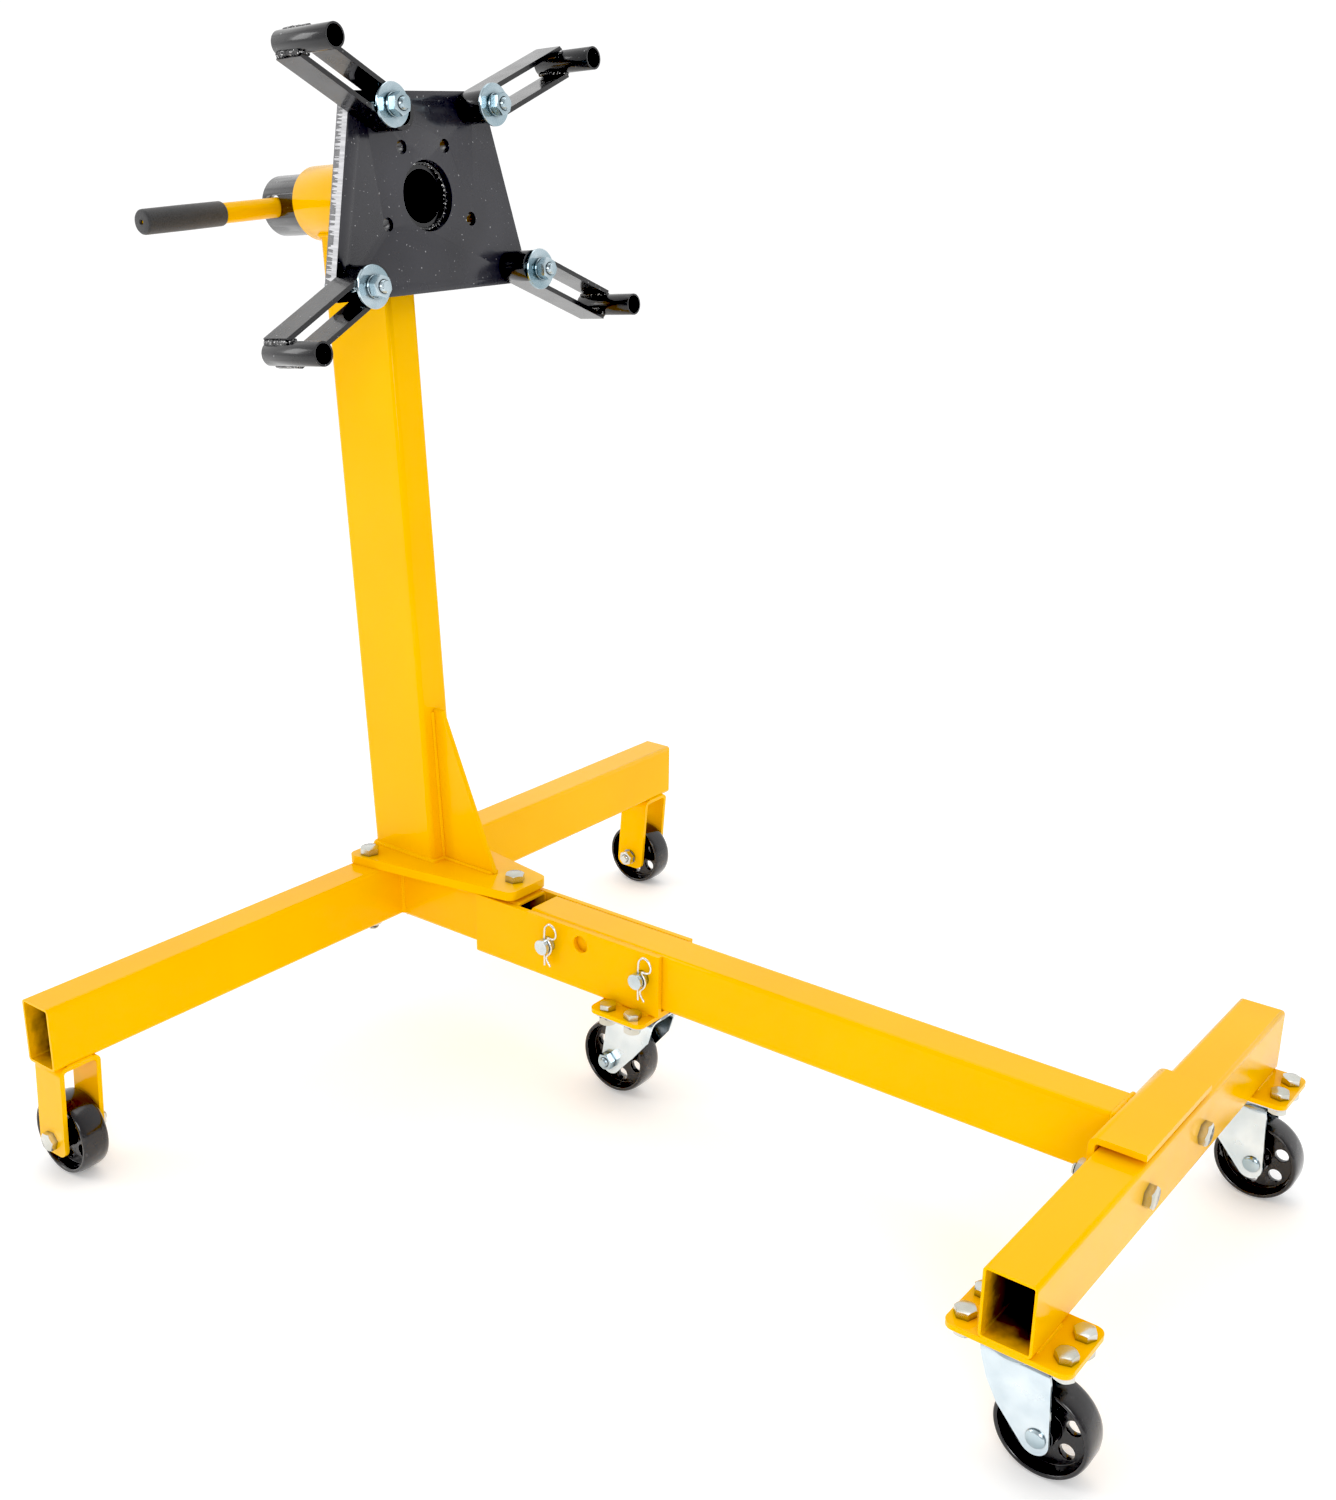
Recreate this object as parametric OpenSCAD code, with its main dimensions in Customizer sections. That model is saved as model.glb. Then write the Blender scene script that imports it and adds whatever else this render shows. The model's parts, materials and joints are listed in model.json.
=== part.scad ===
// Folding engine stand: wheeled T frame, upright post and a turning head with four swing arms.
// Millimetres, +Z up, +X towards the folding leg. The origin is on the floor, under the middle of
// the footprint.

/* [Frame tubes] */
// Height of the rear leg's tube
leg_h = 65; // [60:0.5:70]
// Width of the rear leg's tube
leg_w = 40; // [38:1:42]
// Height of the beam, stub and crossbar tubes
beam_h = 62.5; // [60:0.5:63]
// Width of the beam, stub and crossbar tubes
beam_w = 44; // [40:1:45]
// Wall of the frame tubes
tube_wall = 2.5; // [2:0.5:4]
// Outer corner radius of the frame tubes
tube_round = 4; // [3:0.5:6]
// Height of the rear leg's top face over the floor
leg_top = 189.5; // [189:0.5:191]
// Height of the beam's top face over the floor
beam_top = 186; // [185:0.5:187]

/* [Rear leg] */
// Middle of the rear leg along X
rear_x = -408; // [-410:1:-400]
// Length of the rear leg
rear_leg_len = 945; // [850:5:1000]
// Rear wheel middle to the end of the leg
rear_wheel_inset = 27.5; // [26:0.5:60]
// Rear axle's step back from the leg's middle
rear_axle_back = 7; // [0:1:8]
// Gap between the rear fork's legs
rear_fork_gap = 35; // [34.5:0.5:38]
// Lowest edge of the rear fork
rear_fork_low = 25; // [22:1:28]

/* [Hinge channel] */
// Length of the stub tube in front of the rear leg
stub_len = 175; // [172:1:176]
// Thickness of the channel's plate
channel_t = 6; // [5:0.5:6.5]
// Front end of the channel, from the rear leg's middle
channel_front = 386.5; // [384:0.5:390]
// Channel's rear end, from the rear leg's middle
channel_rear = 138; // [134:1:142]
// Pivot pin from the rear leg's middle
pivot_from_leg = 242; // [242:0.5:243]
// Height of the pins over the floor
pin_z = 157; // [156.5:0.5:157.5]
// Lock pin in front of the pivot pin
lock_from_pivot = 124; // [120:1:128]
// Storage hole in front of the pivot pin
store_from_pivot = 43; // [41:1:45]
// Storage hole above the pivot pin
store_rise = 12; // [9:1:13]
// Diameter of the pins
pin_d = 16; // [12:1:16]

/* [Folding leg] */
// Rear end of the beam, from the rear leg's middle
beam_rear = 212; // [212:0.5:213]
// Rear face of the crossbar, from the rear leg's middle
crossbar_from_leg = 866; // [850:1:880]
// Length of the crossbar
crossbar_len = 530; // [500:5:600]
// Step down from the beam's top to the crossbar's top
crossbar_drop = 7; // [7:1:9]
// Width of the bracket plate
bracket_w = 142; // [136:1:150]
// Spacing of the two bracket bolts
bracket_bolt_gap = 120; // [112:1:122]

/* [Casters] */
// Wheel diameter
wheel_d = 80; // [76:1:80]
// Width of the wheel's tread
wheel_w = 28; // [26:1:30]
// Trail of the caster wheels
caster_trail = 26; // [25:1:30]
// Trail of the middle caster
middle_trail = 31; // [27:1:33]
// Gap under the middle caster while the leg is down
middle_lift = 3; // [0:0.5:5]
// Length of the caster pads
pad_len = 104; // [102:1:110]
// Width of the caster pads
pad_w = 67; // [64:1:72]
// Thickness of the caster pads
pad_t = 5; // [4:0.5:6]
// Middle caster from the rear leg's middle
middle_caster_from_leg = 348; // [342:1:352]
// Bolt spacing along the pads
pad_bolt_len = 82; // [80:1:84]
// Bolt spacing across the pads
pad_bolt_w = 32; // [30:1:36]

/* [Post] */
// Front to back size of the post
post_depth = 91; // [80:1:94]
// Width of the post
post_w = 40; // [34:1:44]
// Wall of the post
post_wall = 3; // [2:0.5:4]
// Backward lean of the post
post_lean = 3.5; // [2:0.1:4.5]
// Thickness of the base plate
base_t = 10; // [8:1:12]
// Top of the gusset over the floor
gusset_top = 370; // [330:5:400]

/* [Turning head] */
// Head axis over the floor, above the rear leg
head_z = 890; // [860:1:910]
// Upward tilt of the head axis
head_tilt = 4.2; // [3:0.1:5]
// Roll of the head about its own axis
head_roll = 1.4; // [-3:0.1:3]
// Outer diameter of the turning tube
head_tube_d = 60; // [56:1:60]
// Wall of the turning tube
head_tube_wall = 5; // [4:0.5:6]
// Outer diameter of the sleeve
sleeve_d = 73; // [72:1:76]
// Front face of the head plate along the head axis
plate_front = 74; // [74:1:78]
// Thickness of the head plate
plate_t = 15; // [12:1:16]
// Width of the head plate's top edge
plate_top_w = 176; // [170:1:180]
// Width of the head plate's bottom edge
plate_low_w = 272; // [266:1:280]
// Top edge over the head axis
plate_up = 95; // [92:1:100]
// Bottom edge under the head axis
plate_down = 90; // [88:1:96]
// Diameter of the handle rod
rod_d = 20; // [16:1:22]
// Handle's reach from the head axis
rod_reach = 194; // [180:1:220]
// Length of the grip
grip_len = 96; // [80:1:110]
// Diameter of the handle's cross hole
rod_hole_d = 22.5; // [22.3:0.1:24]

/* [Arms] */
// Depth of the arm's flat bars
bar_depth = 32; // [28:1:35]
// Thickness of the arm's flat bars
bar_t = 4.7; // [4:0.1:6]
// Outer diameter of the arm tubes
arm_tube_d = 22; // [20:1:22]
// Bore of the arm tubes
arm_bore = 18; // [14:1:18]
// Length of the arm tubes
arm_tube_len = 70; // [60:1:80]
// Length of an arm's slot, tube to inner end
arm_slot = 122; // [121:1:130]
// Arm bolt diameter
arm_bolt_d = 12; // [10:1:12]
// Arm washer diameter
arm_washer_d = 40; // [36:1:40]

/* [Hidden] */
$fn = 48;
play = 0.05;
hidden_gap = 0.5;
part_yellow = "gold";
part_black = "dimgray";
part_zinc = "lightsteelblue";
part_rubber = "darkslategray";

// heights
leg_low = leg_top - leg_h;
beam_low = beam_top - beam_h;
beam_mid = beam_top - beam_h / 2;
channel_low = beam_low - 1 - channel_t;
channel_top = beam_top - 1;
caster_top = channel_low - pad_t;
crossbar_low = beam_top - crossbar_drop - beam_h;
base_top = leg_top + base_t;
wheel_r = wheel_d / 2;

// places along X
pivot_x = rear_x + pivot_from_leg;
lock_x = pivot_x + lock_from_pivot;
crossbar_x = rear_x + crossbar_from_leg + beam_w / 2;
middle_x = rear_x + middle_caster_from_leg;
bracket_t = 6;

// places along Y
rear_wheel_y = rear_leg_len / 2 - rear_wheel_inset;
front_caster_y = crossbar_len / 2 - pad_w / 2;
rear_fork_t = 5;
channel_in = beam_w / 2 + hidden_gap;
channel_out = channel_in + channel_t;
pin_head_t = 5;
pin_tip_y = channel_out + 13;
clip_y = channel_out + 6.5;
clip_wire_d = 2.6;

// head places, along the axis and across it
plate_back = plate_front - plate_t;
sleeve_rear = -82;
sleeve_front = plate_back - 3;
head_tube_rear = -136;
head_tube_front = plate_front - 9;
plate_hole_d = 66;
rod_s = -118;
rod_far = 56;
// the rod hangs down as far as its loose cross hole lets it
rod_droop = atan((rod_hole_d - rod_d - 0.2) / head_tube_d);
washer_t = 3;
arm_top_bolt = [68, 80];
arm_low_bolt = [116, -77];
index_holes = [[29, 45], [57, -24]];
index_d = 13;
front_of_arm = plate_front + bar_depth;
arm_gap = arm_tube_d - 0.4;

// arm name, side, bolt place, angle over the horizontal, reach from bolt to tube
arm_top_right = [-1, arm_top_bolt, 29, 108];
arm_top_left = [1, arm_top_bolt, 20, 120];
arm_low_right = [-1, arm_low_bolt, -26, 113];
arm_low_left = [1, arm_low_bolt, -23, 113];

// ---------- shared shapes ----------

// rectangle with round corners
module round_rect(w, h, r) {
    square([w - 2 * r, h], center = true);
    square([w, h - 2 * r], center = true);
    for (x = [-1, 1], y = [-1, 1]) translate([x * (w / 2 - r), y * (h / 2 - r)]) circle(r);
}

// section of a rectangular tube
module tube_section(w, h, wall, r) {
    difference() {
        round_rect(w, h, r);
        round_rect(w - 2 * wall, h - 2 * wall, max(r - wall, 0.5));
    }
}

// frame tube along Y, centred, its middle at the origin
module tube_along_y(w, h, length) {
    rotate([90, 0, 0]) linear_extrude(length, center = true) tube_section(w, h, tube_wall, tube_round);
}

// frame tube along X, starting at the origin
module tube_along_x(length) {
    rotate([90, 0, 90]) linear_extrude(length) tube_section(beam_w, beam_h, tube_wall, tube_round);
}

// round bar along Y between two places
module bar_y(r, from, to) {
    translate([0, from, 0]) rotate([-90, 0, 0]) cylinder(r = r, h = to - from);
}

// hexagon across flats, along Z
module hexagon(flats, h) {
    cylinder(r = flats / sqrt(3), h = h, $fn = 6);
}

// bolt along +Z: head under the origin, shank above it
module bolt(d, length, flats, head_h) {
    translate([0, 0, -head_h]) hexagon(flats, head_h);
    cylinder(d = d, h = length);
}

// nut or washer ring along +Z, with the bolt's own hole
module nut(d, flats, h) {
    difference() {
        hexagon(flats, h);
        translate([0, 0, -1]) cylinder(d = d, h = h + 2);
    }
}

module ring(outer_d, inner_d, h) {
    difference() {
        cylinder(d = outer_d, h = h);
        translate([0, 0, -1]) cylinder(d = inner_d, h = h + 2);
    }
}

// mirror to the right hand side, which is -Y
module to_side(side) {
    if (side < 0) mirror([0, 1, 0]) children();
    else children();
}

// ---------- rear frame ----------

rear_bolt_x = rear_x - 5;
rear_bolt_y = 46;
front_bolt_x = rear_x + 170;
base_bolt_d = 12;
base_flats = 19;

module base_bolt_places() {
    for (side = [-1, 1]) translate([rear_bolt_x, side * rear_bolt_y, 0]) children();
    translate([front_bolt_x, 0, 0]) children();
}

module base_bolt_holes() {
    base_bolt_places() translate([0, 0, leg_low - 1]) cylinder(d = base_bolt_d + 1, h = leg_h + base_t + 2);
}

module rear_leg() {
    color(part_yellow) difference() {
        translate([rear_x, 0, leg_top - leg_h / 2]) tube_along_y(leg_w, leg_h, rear_leg_len);
        base_bolt_holes();
    }
}

module stub_tube() {
    color(part_yellow) difference() {
        translate([rear_x + leg_w / 2, 0, beam_mid]) tube_along_x(stub_len);
        translate([front_bolt_x, 0, beam_top - 10]) cylinder(d = base_bolt_d + 1, h = 12);
    }
}

module channel_section() {
    difference() {
        translate([0, (channel_top + channel_low) / 2])
            round_rect(2 * channel_out, channel_top - channel_low, 3);
        translate([-channel_in, channel_low + channel_t]) square([2 * channel_in, beam_h + 20]);
    }
    // square top edges
    for (side = [-1, 1]) translate([side * (channel_out - channel_t / 2), channel_top - 3])
        square([channel_t, 6], center = true);
}

module hinge_channel() {
    color(part_yellow) difference() {
        translate([rear_x + channel_rear, 0, 0]) rotate([90, 0, 90])
            linear_extrude(channel_front - channel_rear) channel_section();
        for (x = [pivot_x, lock_x]) translate([x, 0, pin_z])
            bar_y(pin_d / 2 + play, -channel_out - 1, channel_out + 1);
        translate([pivot_x + store_from_pivot, 0, pin_z + store_rise])
            bar_y(pin_d / 2 + 1, -channel_out - 1, channel_out + 1);
    }
}

// flat plate with straight edges and round corners, as an exact outline
module base_flat() {
    rear = -24;
    nose = 191;
    rear_half = 62;
    nose_half = 30;
    r = 10;
    slope = atan((rear_half - nose_half) / (nose - rear - 2 * r));
    dx = r * sin(slope);
    dy = r * cos(slope);
    back_mid = [rear + r, rear_half - r];
    front_mid = [nose - r, nose_half - r];
    for (side = [0, 1]) mirror([0, side]) {
        polygon([
            [nose, 0], [nose, front_mid[1]], front_mid, front_mid + [dx, dy],
            back_mid + [dx, dy], back_mid, [rear, back_mid[1]], [rear, 0]
        ]);
        translate(back_mid) circle(r);
        translate(front_mid) circle(r);
    }
}

module base_plate() {
    color(part_yellow) difference() {
        translate([rear_x, 0, leg_top]) linear_extrude(base_t) base_flat();
        base_bolt_holes();
    }
}

module base_bolts() {
    head_h = 8;
    nut_h = 10;
    color(part_zinc) {
        base_bolt_places() translate([0, 0, base_top]) mirror([0, 0, 1])
            bolt(base_bolt_d, base_t + 18, base_flats, head_h);
        for (side = [-1, 1]) translate([rear_bolt_x, side * rear_bolt_y, 0]) {
            translate([0, 0, leg_low - nut_h - 6]) cylinder(d = base_bolt_d, h = leg_h + nut_h);
            translate([0, 0, leg_low - nut_h]) nut(base_bolt_d, base_flats, nut_h);
        }
        translate([front_bolt_x, 0, beam_top - tube_wall - nut_h]) nut(base_bolt_d, base_flats, nut_h);
    }
}

// places children in the head's frame: X along its axis, Z up
module at_head() {
    translate([rear_x, 0, head_z]) rotate([0, -head_tilt, 0]) rotate([head_roll, 0, 0]) children();
}

module round_s(d, from, to) {
    translate([from, 0, 0]) rotate([0, 90, 0]) cylinder(d = d, h = to - from);
}

post_mid = rear_x + 22.9;
post_round = 5;

module post() {
    color(part_yellow) difference() {
        translate([post_mid, 0, base_top]) rotate([0, -post_lean, 0]) translate([0, 0, -10])
            linear_extrude(head_z - base_top + 10) tube_section(post_depth, post_w, post_wall, post_round);
        translate([post_mid, 0, base_top - 25]) cube([200, 200, 50], center = true);
        at_head() {
            round_s(sleeve_d, -200, 200);
            translate([-200, -100, 0]) cube([400, 200, 100]);
        }
    }
}

module gusset() {
    t = 6;
    foot_front = rear_x + 143;
    top_flat = 12;
    lean_back = (gusset_top - base_top) * tan(post_lean);
    face = post_mid + post_depth / 2 / cos(post_lean) + play;
    color(part_yellow) rotate([90, 0, 0]) linear_extrude(t, center = true) polygon([
        [face, base_top], [foot_front, base_top],
        [face - lean_back + top_flat, gusset_top], [face - lean_back, gusset_top]
    ]);
}

module sleeve() {
    color(part_yellow) at_head() difference() {
        round_s(sleeve_d, sleeve_rear, sleeve_front);
        round_s(head_tube_d + 2 * play, sleeve_rear - 1, sleeve_front + 1);
    }
}

// ---------- pins and spring clips ----------

module pin_shank(from, to) {
    difference() {
        bar_y(pin_d / 2, from, to);
        translate([0, -clip_y, 0]) cylinder(d = clip_wire_d + 0.4, h = pin_d + 2, center = true);
    }
}

module pin_end_head() {
    bar_y(pin_d / 2 + 4, channel_out, channel_out + pin_head_t);
}

module pivot_pin() {
    color(part_zinc) translate([pivot_x, 0, pin_z]) {
        pin_shank(-pin_tip_y, channel_out);
        pin_end_head();
    }
}

module lock_pin() {
    color(part_zinc) translate([lock_x, 0, pin_z]) {
        pin_shank(-pin_tip_y, -channel_in);
        bar_y(pin_d / 2, channel_in, channel_out);
        pin_end_head();
    }
}

module lock_pin_core() {
    color(part_zinc) translate([lock_x, 0, pin_z]) bar_y(pin_d / 2, 0.1 - channel_in, channel_in - 0.1);
}

// round wire in the XZ plane between two places
module wire(from, to) {
    reach = to - from;
    translate([from[0], 0, from[1]])
        rotate([0, atan2(reach[0], reach[1]), 0]) cylinder(d = clip_wire_d, h = norm(reach));
}

// round elbow of the wire, a little fatter than it
module wire_elbow(place) {
    translate([place[0], 0, place[1]]) sphere(d = clip_wire_d + 0.2);
}

// arc of round wire in the XZ plane, anticlockwise from one angle to another
module wire_arc(middle, r, from, to) {
    translate([middle[0], 0, middle[1]]) rotate([90, 0, 0]) rotate([0, 0, from])
        rotate_extrude(angle = to - from) translate([r, 0]) circle(d = clip_wire_d);
}

// spring clip: a straight leg through the pin, a loop on top and a leg bent round the pin
module clip() {
    bow = pin_d / 2 + clip_wire_d / 2 + 0.3;
    loop_r = 8;
    loop_mid = [loop_r, 18];
    loop_end = loop_mid + loop_r * [cos(250), sin(250)];
    bow_top = bow * [cos(62), sin(62)];
    bow_low = bow * [cos(-58), sin(-58)];
    waist = [3.2, -13];
    wire([0, -22], [0, loop_mid[1]]);
    wire_arc(loop_mid, loop_r, -110, 180);
    wire(loop_end, bow_top);
    wire_arc([0, 0], bow, -58, 62);
    wire(bow_low, waist);
    wire(waist, [8, -22]);
    for (elbow = [[0, loop_mid[1]], loop_end, bow_top, bow_low, waist]) wire_elbow(elbow);
}

module pivot_clip() {
    color(part_zinc) translate([pivot_x, -clip_y, pin_z]) clip();
}

module lock_clip() {
    color(part_zinc) translate([lock_x, -clip_y, pin_z]) clip();
}

// ---------- wheels and casters ----------

axle_d = 10;
hub_half = 16.5;
wheel_holes = 6;
wheel_phase = 21;

module wheel() {
    rim_t = 5;
    web_half = 3;
    hub_r = 12;
    crown = 1;
    half = wheel_w / 2;
    rotate([90, 0, 0]) difference() {
        rotate_extrude() polygon([
            [axle_d / 2 + play, -hub_half], [hub_r, -hub_half], [hub_r + 1.5, -web_half],
            [wheel_r - rim_t - 2, -web_half], [wheel_r - rim_t, -half + 1], [wheel_r - rim_t + 1, -half],
            [wheel_r - 2, -half], [wheel_r - crown, -half + 1.5], [wheel_r, -half * 0.55],
            [wheel_r, half * 0.55], [wheel_r - crown, half - 1.5], [wheel_r - 2, half],
            [wheel_r - rim_t + 1, half], [wheel_r - rim_t, half - 1], [wheel_r - rim_t - 2, web_half],
            [hub_r + 1.5, web_half], [hub_r, hub_half], [axle_d / 2 + play, hub_half]
        ]);
        for (i = [0 : wheel_holes - 1]) rotate([0, 0, wheel_phase + i * 360 / wheel_holes])
            translate([23.5, 0, 0]) cylinder(d = 13, h = 20, center = true);
    }
}

// inverted U of flat plate under an end of the rear leg, at the origin of its wheel
module rear_fork_shape() {
    outer = rear_fork_gap / 2 + rear_fork_t;
    bend = 8;
    leg = leg_low - rear_fork_low + bend;
    intersection() {
        translate([0, 0, leg_low - leg / 2]) rotate([90, 0, 90])
            linear_extrude(2 * leg_w, center = true) difference() {
                round_rect(2 * outer, leg, bend);
                translate([0, -rear_fork_t]) round_rect(rear_fork_gap, leg, bend - rear_fork_t);
            }
        rotate([90, 0, 0]) linear_extrude(2 * outer + 2, center = true) rear_fork_side();
    }
}

// side of the rear fork in the XZ plane: it steps back towards its rounded lower end
module rear_fork_side() {
    r = 10;
    half = leg_w / 2;
    front_mid = [half - r - rear_axle_back, rear_fork_low + r];
    back_mid = [r - half - rear_axle_back, rear_fork_low + r];
    difference() {
        union() {
            polygon([
                [half, leg_low], [-half, leg_low], back_mid - [r, 0], back_mid, back_mid - [0, r],
                front_mid - [0, r], front_mid, front_mid + [r, 0]
            ]);
            translate(front_mid) circle(r);
            translate(back_mid) circle(r);
        }
        translate([-rear_axle_back, wheel_r]) circle(axle_d / 2 + play);
    }
}

module rear_axle_shape() {
    outer = rear_fork_gap / 2 + rear_fork_t;
    head_h = 6.5;
    nut_h = 8.5;
    translate([-rear_axle_back, 0, wheel_r]) {
        bar_y(axle_d / 2, -outer - 14, outer);
        translate([0, outer, 0]) rotate([-90, 0, 0]) hexagon(17, head_h);
        translate([0, -outer - 1.6, 0]) rotate([-90, 0, 0]) ring(20, axle_d, 1.6);
        translate([0, -outer - 1.6 - nut_h, 0]) rotate([-90, 0, 0]) nut(axle_d, 17, nut_h);
    }
}

module rear_fork_left() {
    color(part_yellow) translate([rear_x, rear_wheel_y, 0]) rear_fork_shape();
}

module rear_fork_right() {
    color(part_yellow) translate([rear_x, -rear_wheel_y, 0]) rear_fork_shape();
}

module rear_axle_left() {
    color(part_zinc) translate([rear_x, rear_wheel_y, 0]) rear_axle_shape();
}

module rear_axle_right() {
    color(part_zinc) mirror([0, 1, 0]) translate([rear_x, rear_wheel_y, 0]) rear_axle_shape();
}

module rear_wheel_left() {
    color(part_black) translate([rear_x - rear_axle_back, rear_wheel_y, wheel_r]) wheel();
}

module rear_wheel_right() {
    color(part_black) translate([rear_x - rear_axle_back, -rear_wheel_y, wheel_r]) wheel();
}

plate_steel = 3;
pad_bolt_d = 10;
pad_flats = 16;
crown_top = caster_top - 7.5;
fork_in = 17.5;
fork_t = 3;

module pad_holes(d) {
    for (x = [-1, 1], y = [-1, 1]) translate([x * pad_bolt_len / 2, y * pad_bolt_w / 2, 0])
        translate([0, 0, caster_top - 50]) cylinder(d = d, h = 100);
}

// flat pad, long side along X
module pad() {
    difference() {
        translate([0, 0, caster_top]) linear_extrude(pad_t) round_rect(pad_len, pad_w, 9);
        pad_holes(pad_bolt_d + 0.6);
    }
}

module pad_bolt_set() {
    head_h = 6.4;
    nut_h = 8;
    for (x = [-1, 1], y = [-1, 1]) translate([x * pad_bolt_len / 2, y * pad_bolt_w / 2, 0]) {
        translate([0, 0, caster_top + pad_t]) mirror([0, 0, 1])
            bolt(pad_bolt_d, pad_t + 13, pad_flats, head_h);
        translate([0, 0, caster_top - plate_steel - nut_h]) nut(pad_bolt_d, pad_flats, nut_h);
    }
}

// caster's mounting plate with the fixed half of the ball race
module caster_plate() {
    difference() {
        union() {
            translate([0, 0, caster_top - plate_steel]) linear_extrude(plate_steel) round_rect(98, 60, 8);
            translate([0, 0, caster_top - 6]) cylinder(r = 22, h = 4);
        }
        translate([0, 0, caster_top - 20]) cylinder(d = axle_d, h = 40);
        pad_holes(pad_bolt_d + 0.6);
    }
}

module kingpin() {
    translate([0, 0, crown_top - 3 - 5]) {
        cylinder(d = 18, h = 5 - 0.2);
        cylinder(d = axle_d, h = caster_top - crown_top + 8);
    }
}

// pressed fork: a bent sheet with tapered legs and the turning half of the race on its crown
module caster_fork(trail, rise) {
    bend = 9;
    half = fork_in + fork_t;
    leg = crown_top + bend;
    race_r = 25.5;
    difference() {
        union() {
            intersection() {
                translate([0, 0, crown_top - leg / 2]) rotate([90, 0, 90])
                    linear_extrude(120, center = true) difference() {
                        round_rect(2 * half, leg, bend);
                        translate([0, -fork_t]) round_rect(2 * fork_in, leg, bend - fork_t);
                    }
                rotate([90, 0, 0]) linear_extrude(2 * half + 2, center = true) fork_side(trail, rise);
            }
            translate([0, 0, crown_top - fork_t]) cylinder(r = race_r, h = fork_t);
            translate([0, 0, crown_top]) ring(2 * race_r, 2 * race_r - 5, 3);
        }
        translate([0, 0, crown_top - fork_t - 1]) cylinder(d = axle_d + 2 * play, h = 20);
        translate([trail, 0, wheel_r + rise]) bar_y(axle_d / 2 + play, -50, 50);
    }
}

// side of the fork in the XZ plane: the leading edge bends onto the rounded lower end
module fork_side(trail, rise) {
    r = 12;
    end_mid = [trail - 1.5, 36.5 + rise];
    knee = [-8 + (trail - caster_trail), 55.5 + rise];
    reach = end_mid - knee;
    swing = atan2(reach[1], reach[0]) - asin(r / norm(reach));
    translate(end_mid) circle(r);
    polygon([
        [-26, crown_top], [-23.5, 92 + rise], [-18, 74 + rise], knee,
        knee + norm(reach) * cos(asin(r / norm(reach))) * [cos(swing), sin(swing)], end_mid,
        end_mid + [r, 0], [33.5, 90], [32, 98], [26, crown_top]
    ]);
}

module caster_axle(trail, rise) {
    reach = fork_in + fork_t;
    translate([trail, 0, wheel_r + rise]) {
        bar_y(axle_d / 2, -reach, reach + 12);
        translate([0, -reach, 0]) rotate([90, 0, 0]) intersection() {
            cylinder(d = 16, h = 3.5);
            translate([0, 0, -9]) sphere(r = 12.5);
        }
        translate([0, reach, 0]) rotate([-90, 0, 0]) nut(axle_d, 16, 8);
    }
}

module caster_wheel(trail, rise) {
    translate([trail, 0, wheel_r + rise]) wheel();
}

// the three casters: front ones trail forwards, the middle one backwards
module at_front(side) {
    translate([crossbar_x, side * front_caster_y, 0]) children();
}

module at_middle() {
    translate([middle_x, 0, 0]) children();
}

module at_middle_caster() {
    at_middle() rotate([0, 0, 180]) children();
}

module middle_pad() {
    color(part_yellow) at_middle() rotate([0, 0, 90]) pad();
}

module middle_pad_bolts() {
    color(part_zinc) at_middle() rotate([0, 0, 90]) pad_bolt_set();
}

module front_pad_left() {
    color(part_yellow) at_front(1) pad();
}

module front_pad_right() {
    color(part_yellow) at_front(-1) pad();
}

module front_pad_bolts() {
    color(part_zinc) for (side = [-1, 1]) at_front(side) pad_bolt_set();
}

module caster_plate_front_left() {
    color(part_zinc) at_front(1) caster_plate();
}

module caster_plate_front_right() {
    color(part_zinc) at_front(-1) caster_plate();
}

module caster_plate_middle() {
    color(part_zinc) at_middle() rotate([0, 0, 90]) caster_plate();
}

module kingpin_front_left() {
    color(part_zinc) at_front(1) kingpin();
}

module kingpin_front_right() {
    color(part_zinc) at_front(-1) kingpin();
}

module kingpin_middle() {
    color(part_zinc) at_middle() kingpin();
}

module caster_fork_front_left() {
    color(part_zinc) at_front(1) caster_fork(caster_trail, 0);
}

module caster_fork_front_right() {
    color(part_zinc) at_front(-1) caster_fork(caster_trail, 0);
}

module caster_fork_middle() {
    color(part_zinc) at_middle_caster() caster_fork(middle_trail, middle_lift);
}

module caster_axle_front_left() {
    color(part_zinc) at_front(1) caster_axle(caster_trail, 0);
}

module caster_axle_front_right() {
    color(part_zinc) at_front(-1) caster_axle(caster_trail, 0);
}

module caster_axle_middle() {
    color(part_zinc) at_middle_caster() caster_axle(middle_trail, middle_lift);
}

module caster_wheel_front_left() {
    color(part_black) at_front(1) caster_wheel(caster_trail, 0);
}

module caster_wheel_front_right() {
    color(part_black) at_front(-1) caster_wheel(caster_trail, 0);
}

module caster_wheel_middle() {
    color(part_black) at_middle_caster() caster_wheel(middle_trail, middle_lift);
}

// ---------- folding leg ----------

module front_beam() {
    beam_len = crossbar_from_leg - bracket_t - beam_rear;
    tail_r = pin_z - beam_low + 0.5;
    color(part_yellow) difference() {
        translate([rear_x + beam_rear, 0, beam_mid]) tube_along_x(beam_len);
        // lower rear corner rounded about the pivot, so the tail clears the channel's floor
        translate([pivot_x, 0, pin_z]) difference() {
            translate([-60, -40, -60]) cube([60, 80, 60]);
            bar_y(tail_r, -41, 41);
        }
        for (x = [pivot_x, lock_x]) translate([x, 0, pin_z]) bar_y(pin_d / 2 + play, -30, 30);
    }
}

bracket_bolt_d = 12;
bracket_flats = 19;

module bracket_bolt_places() {
    for (side = [-1, 1])
        translate([crossbar_x, side * bracket_bolt_gap / 2, crossbar_low + beam_h / 2]) children();
}

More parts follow.
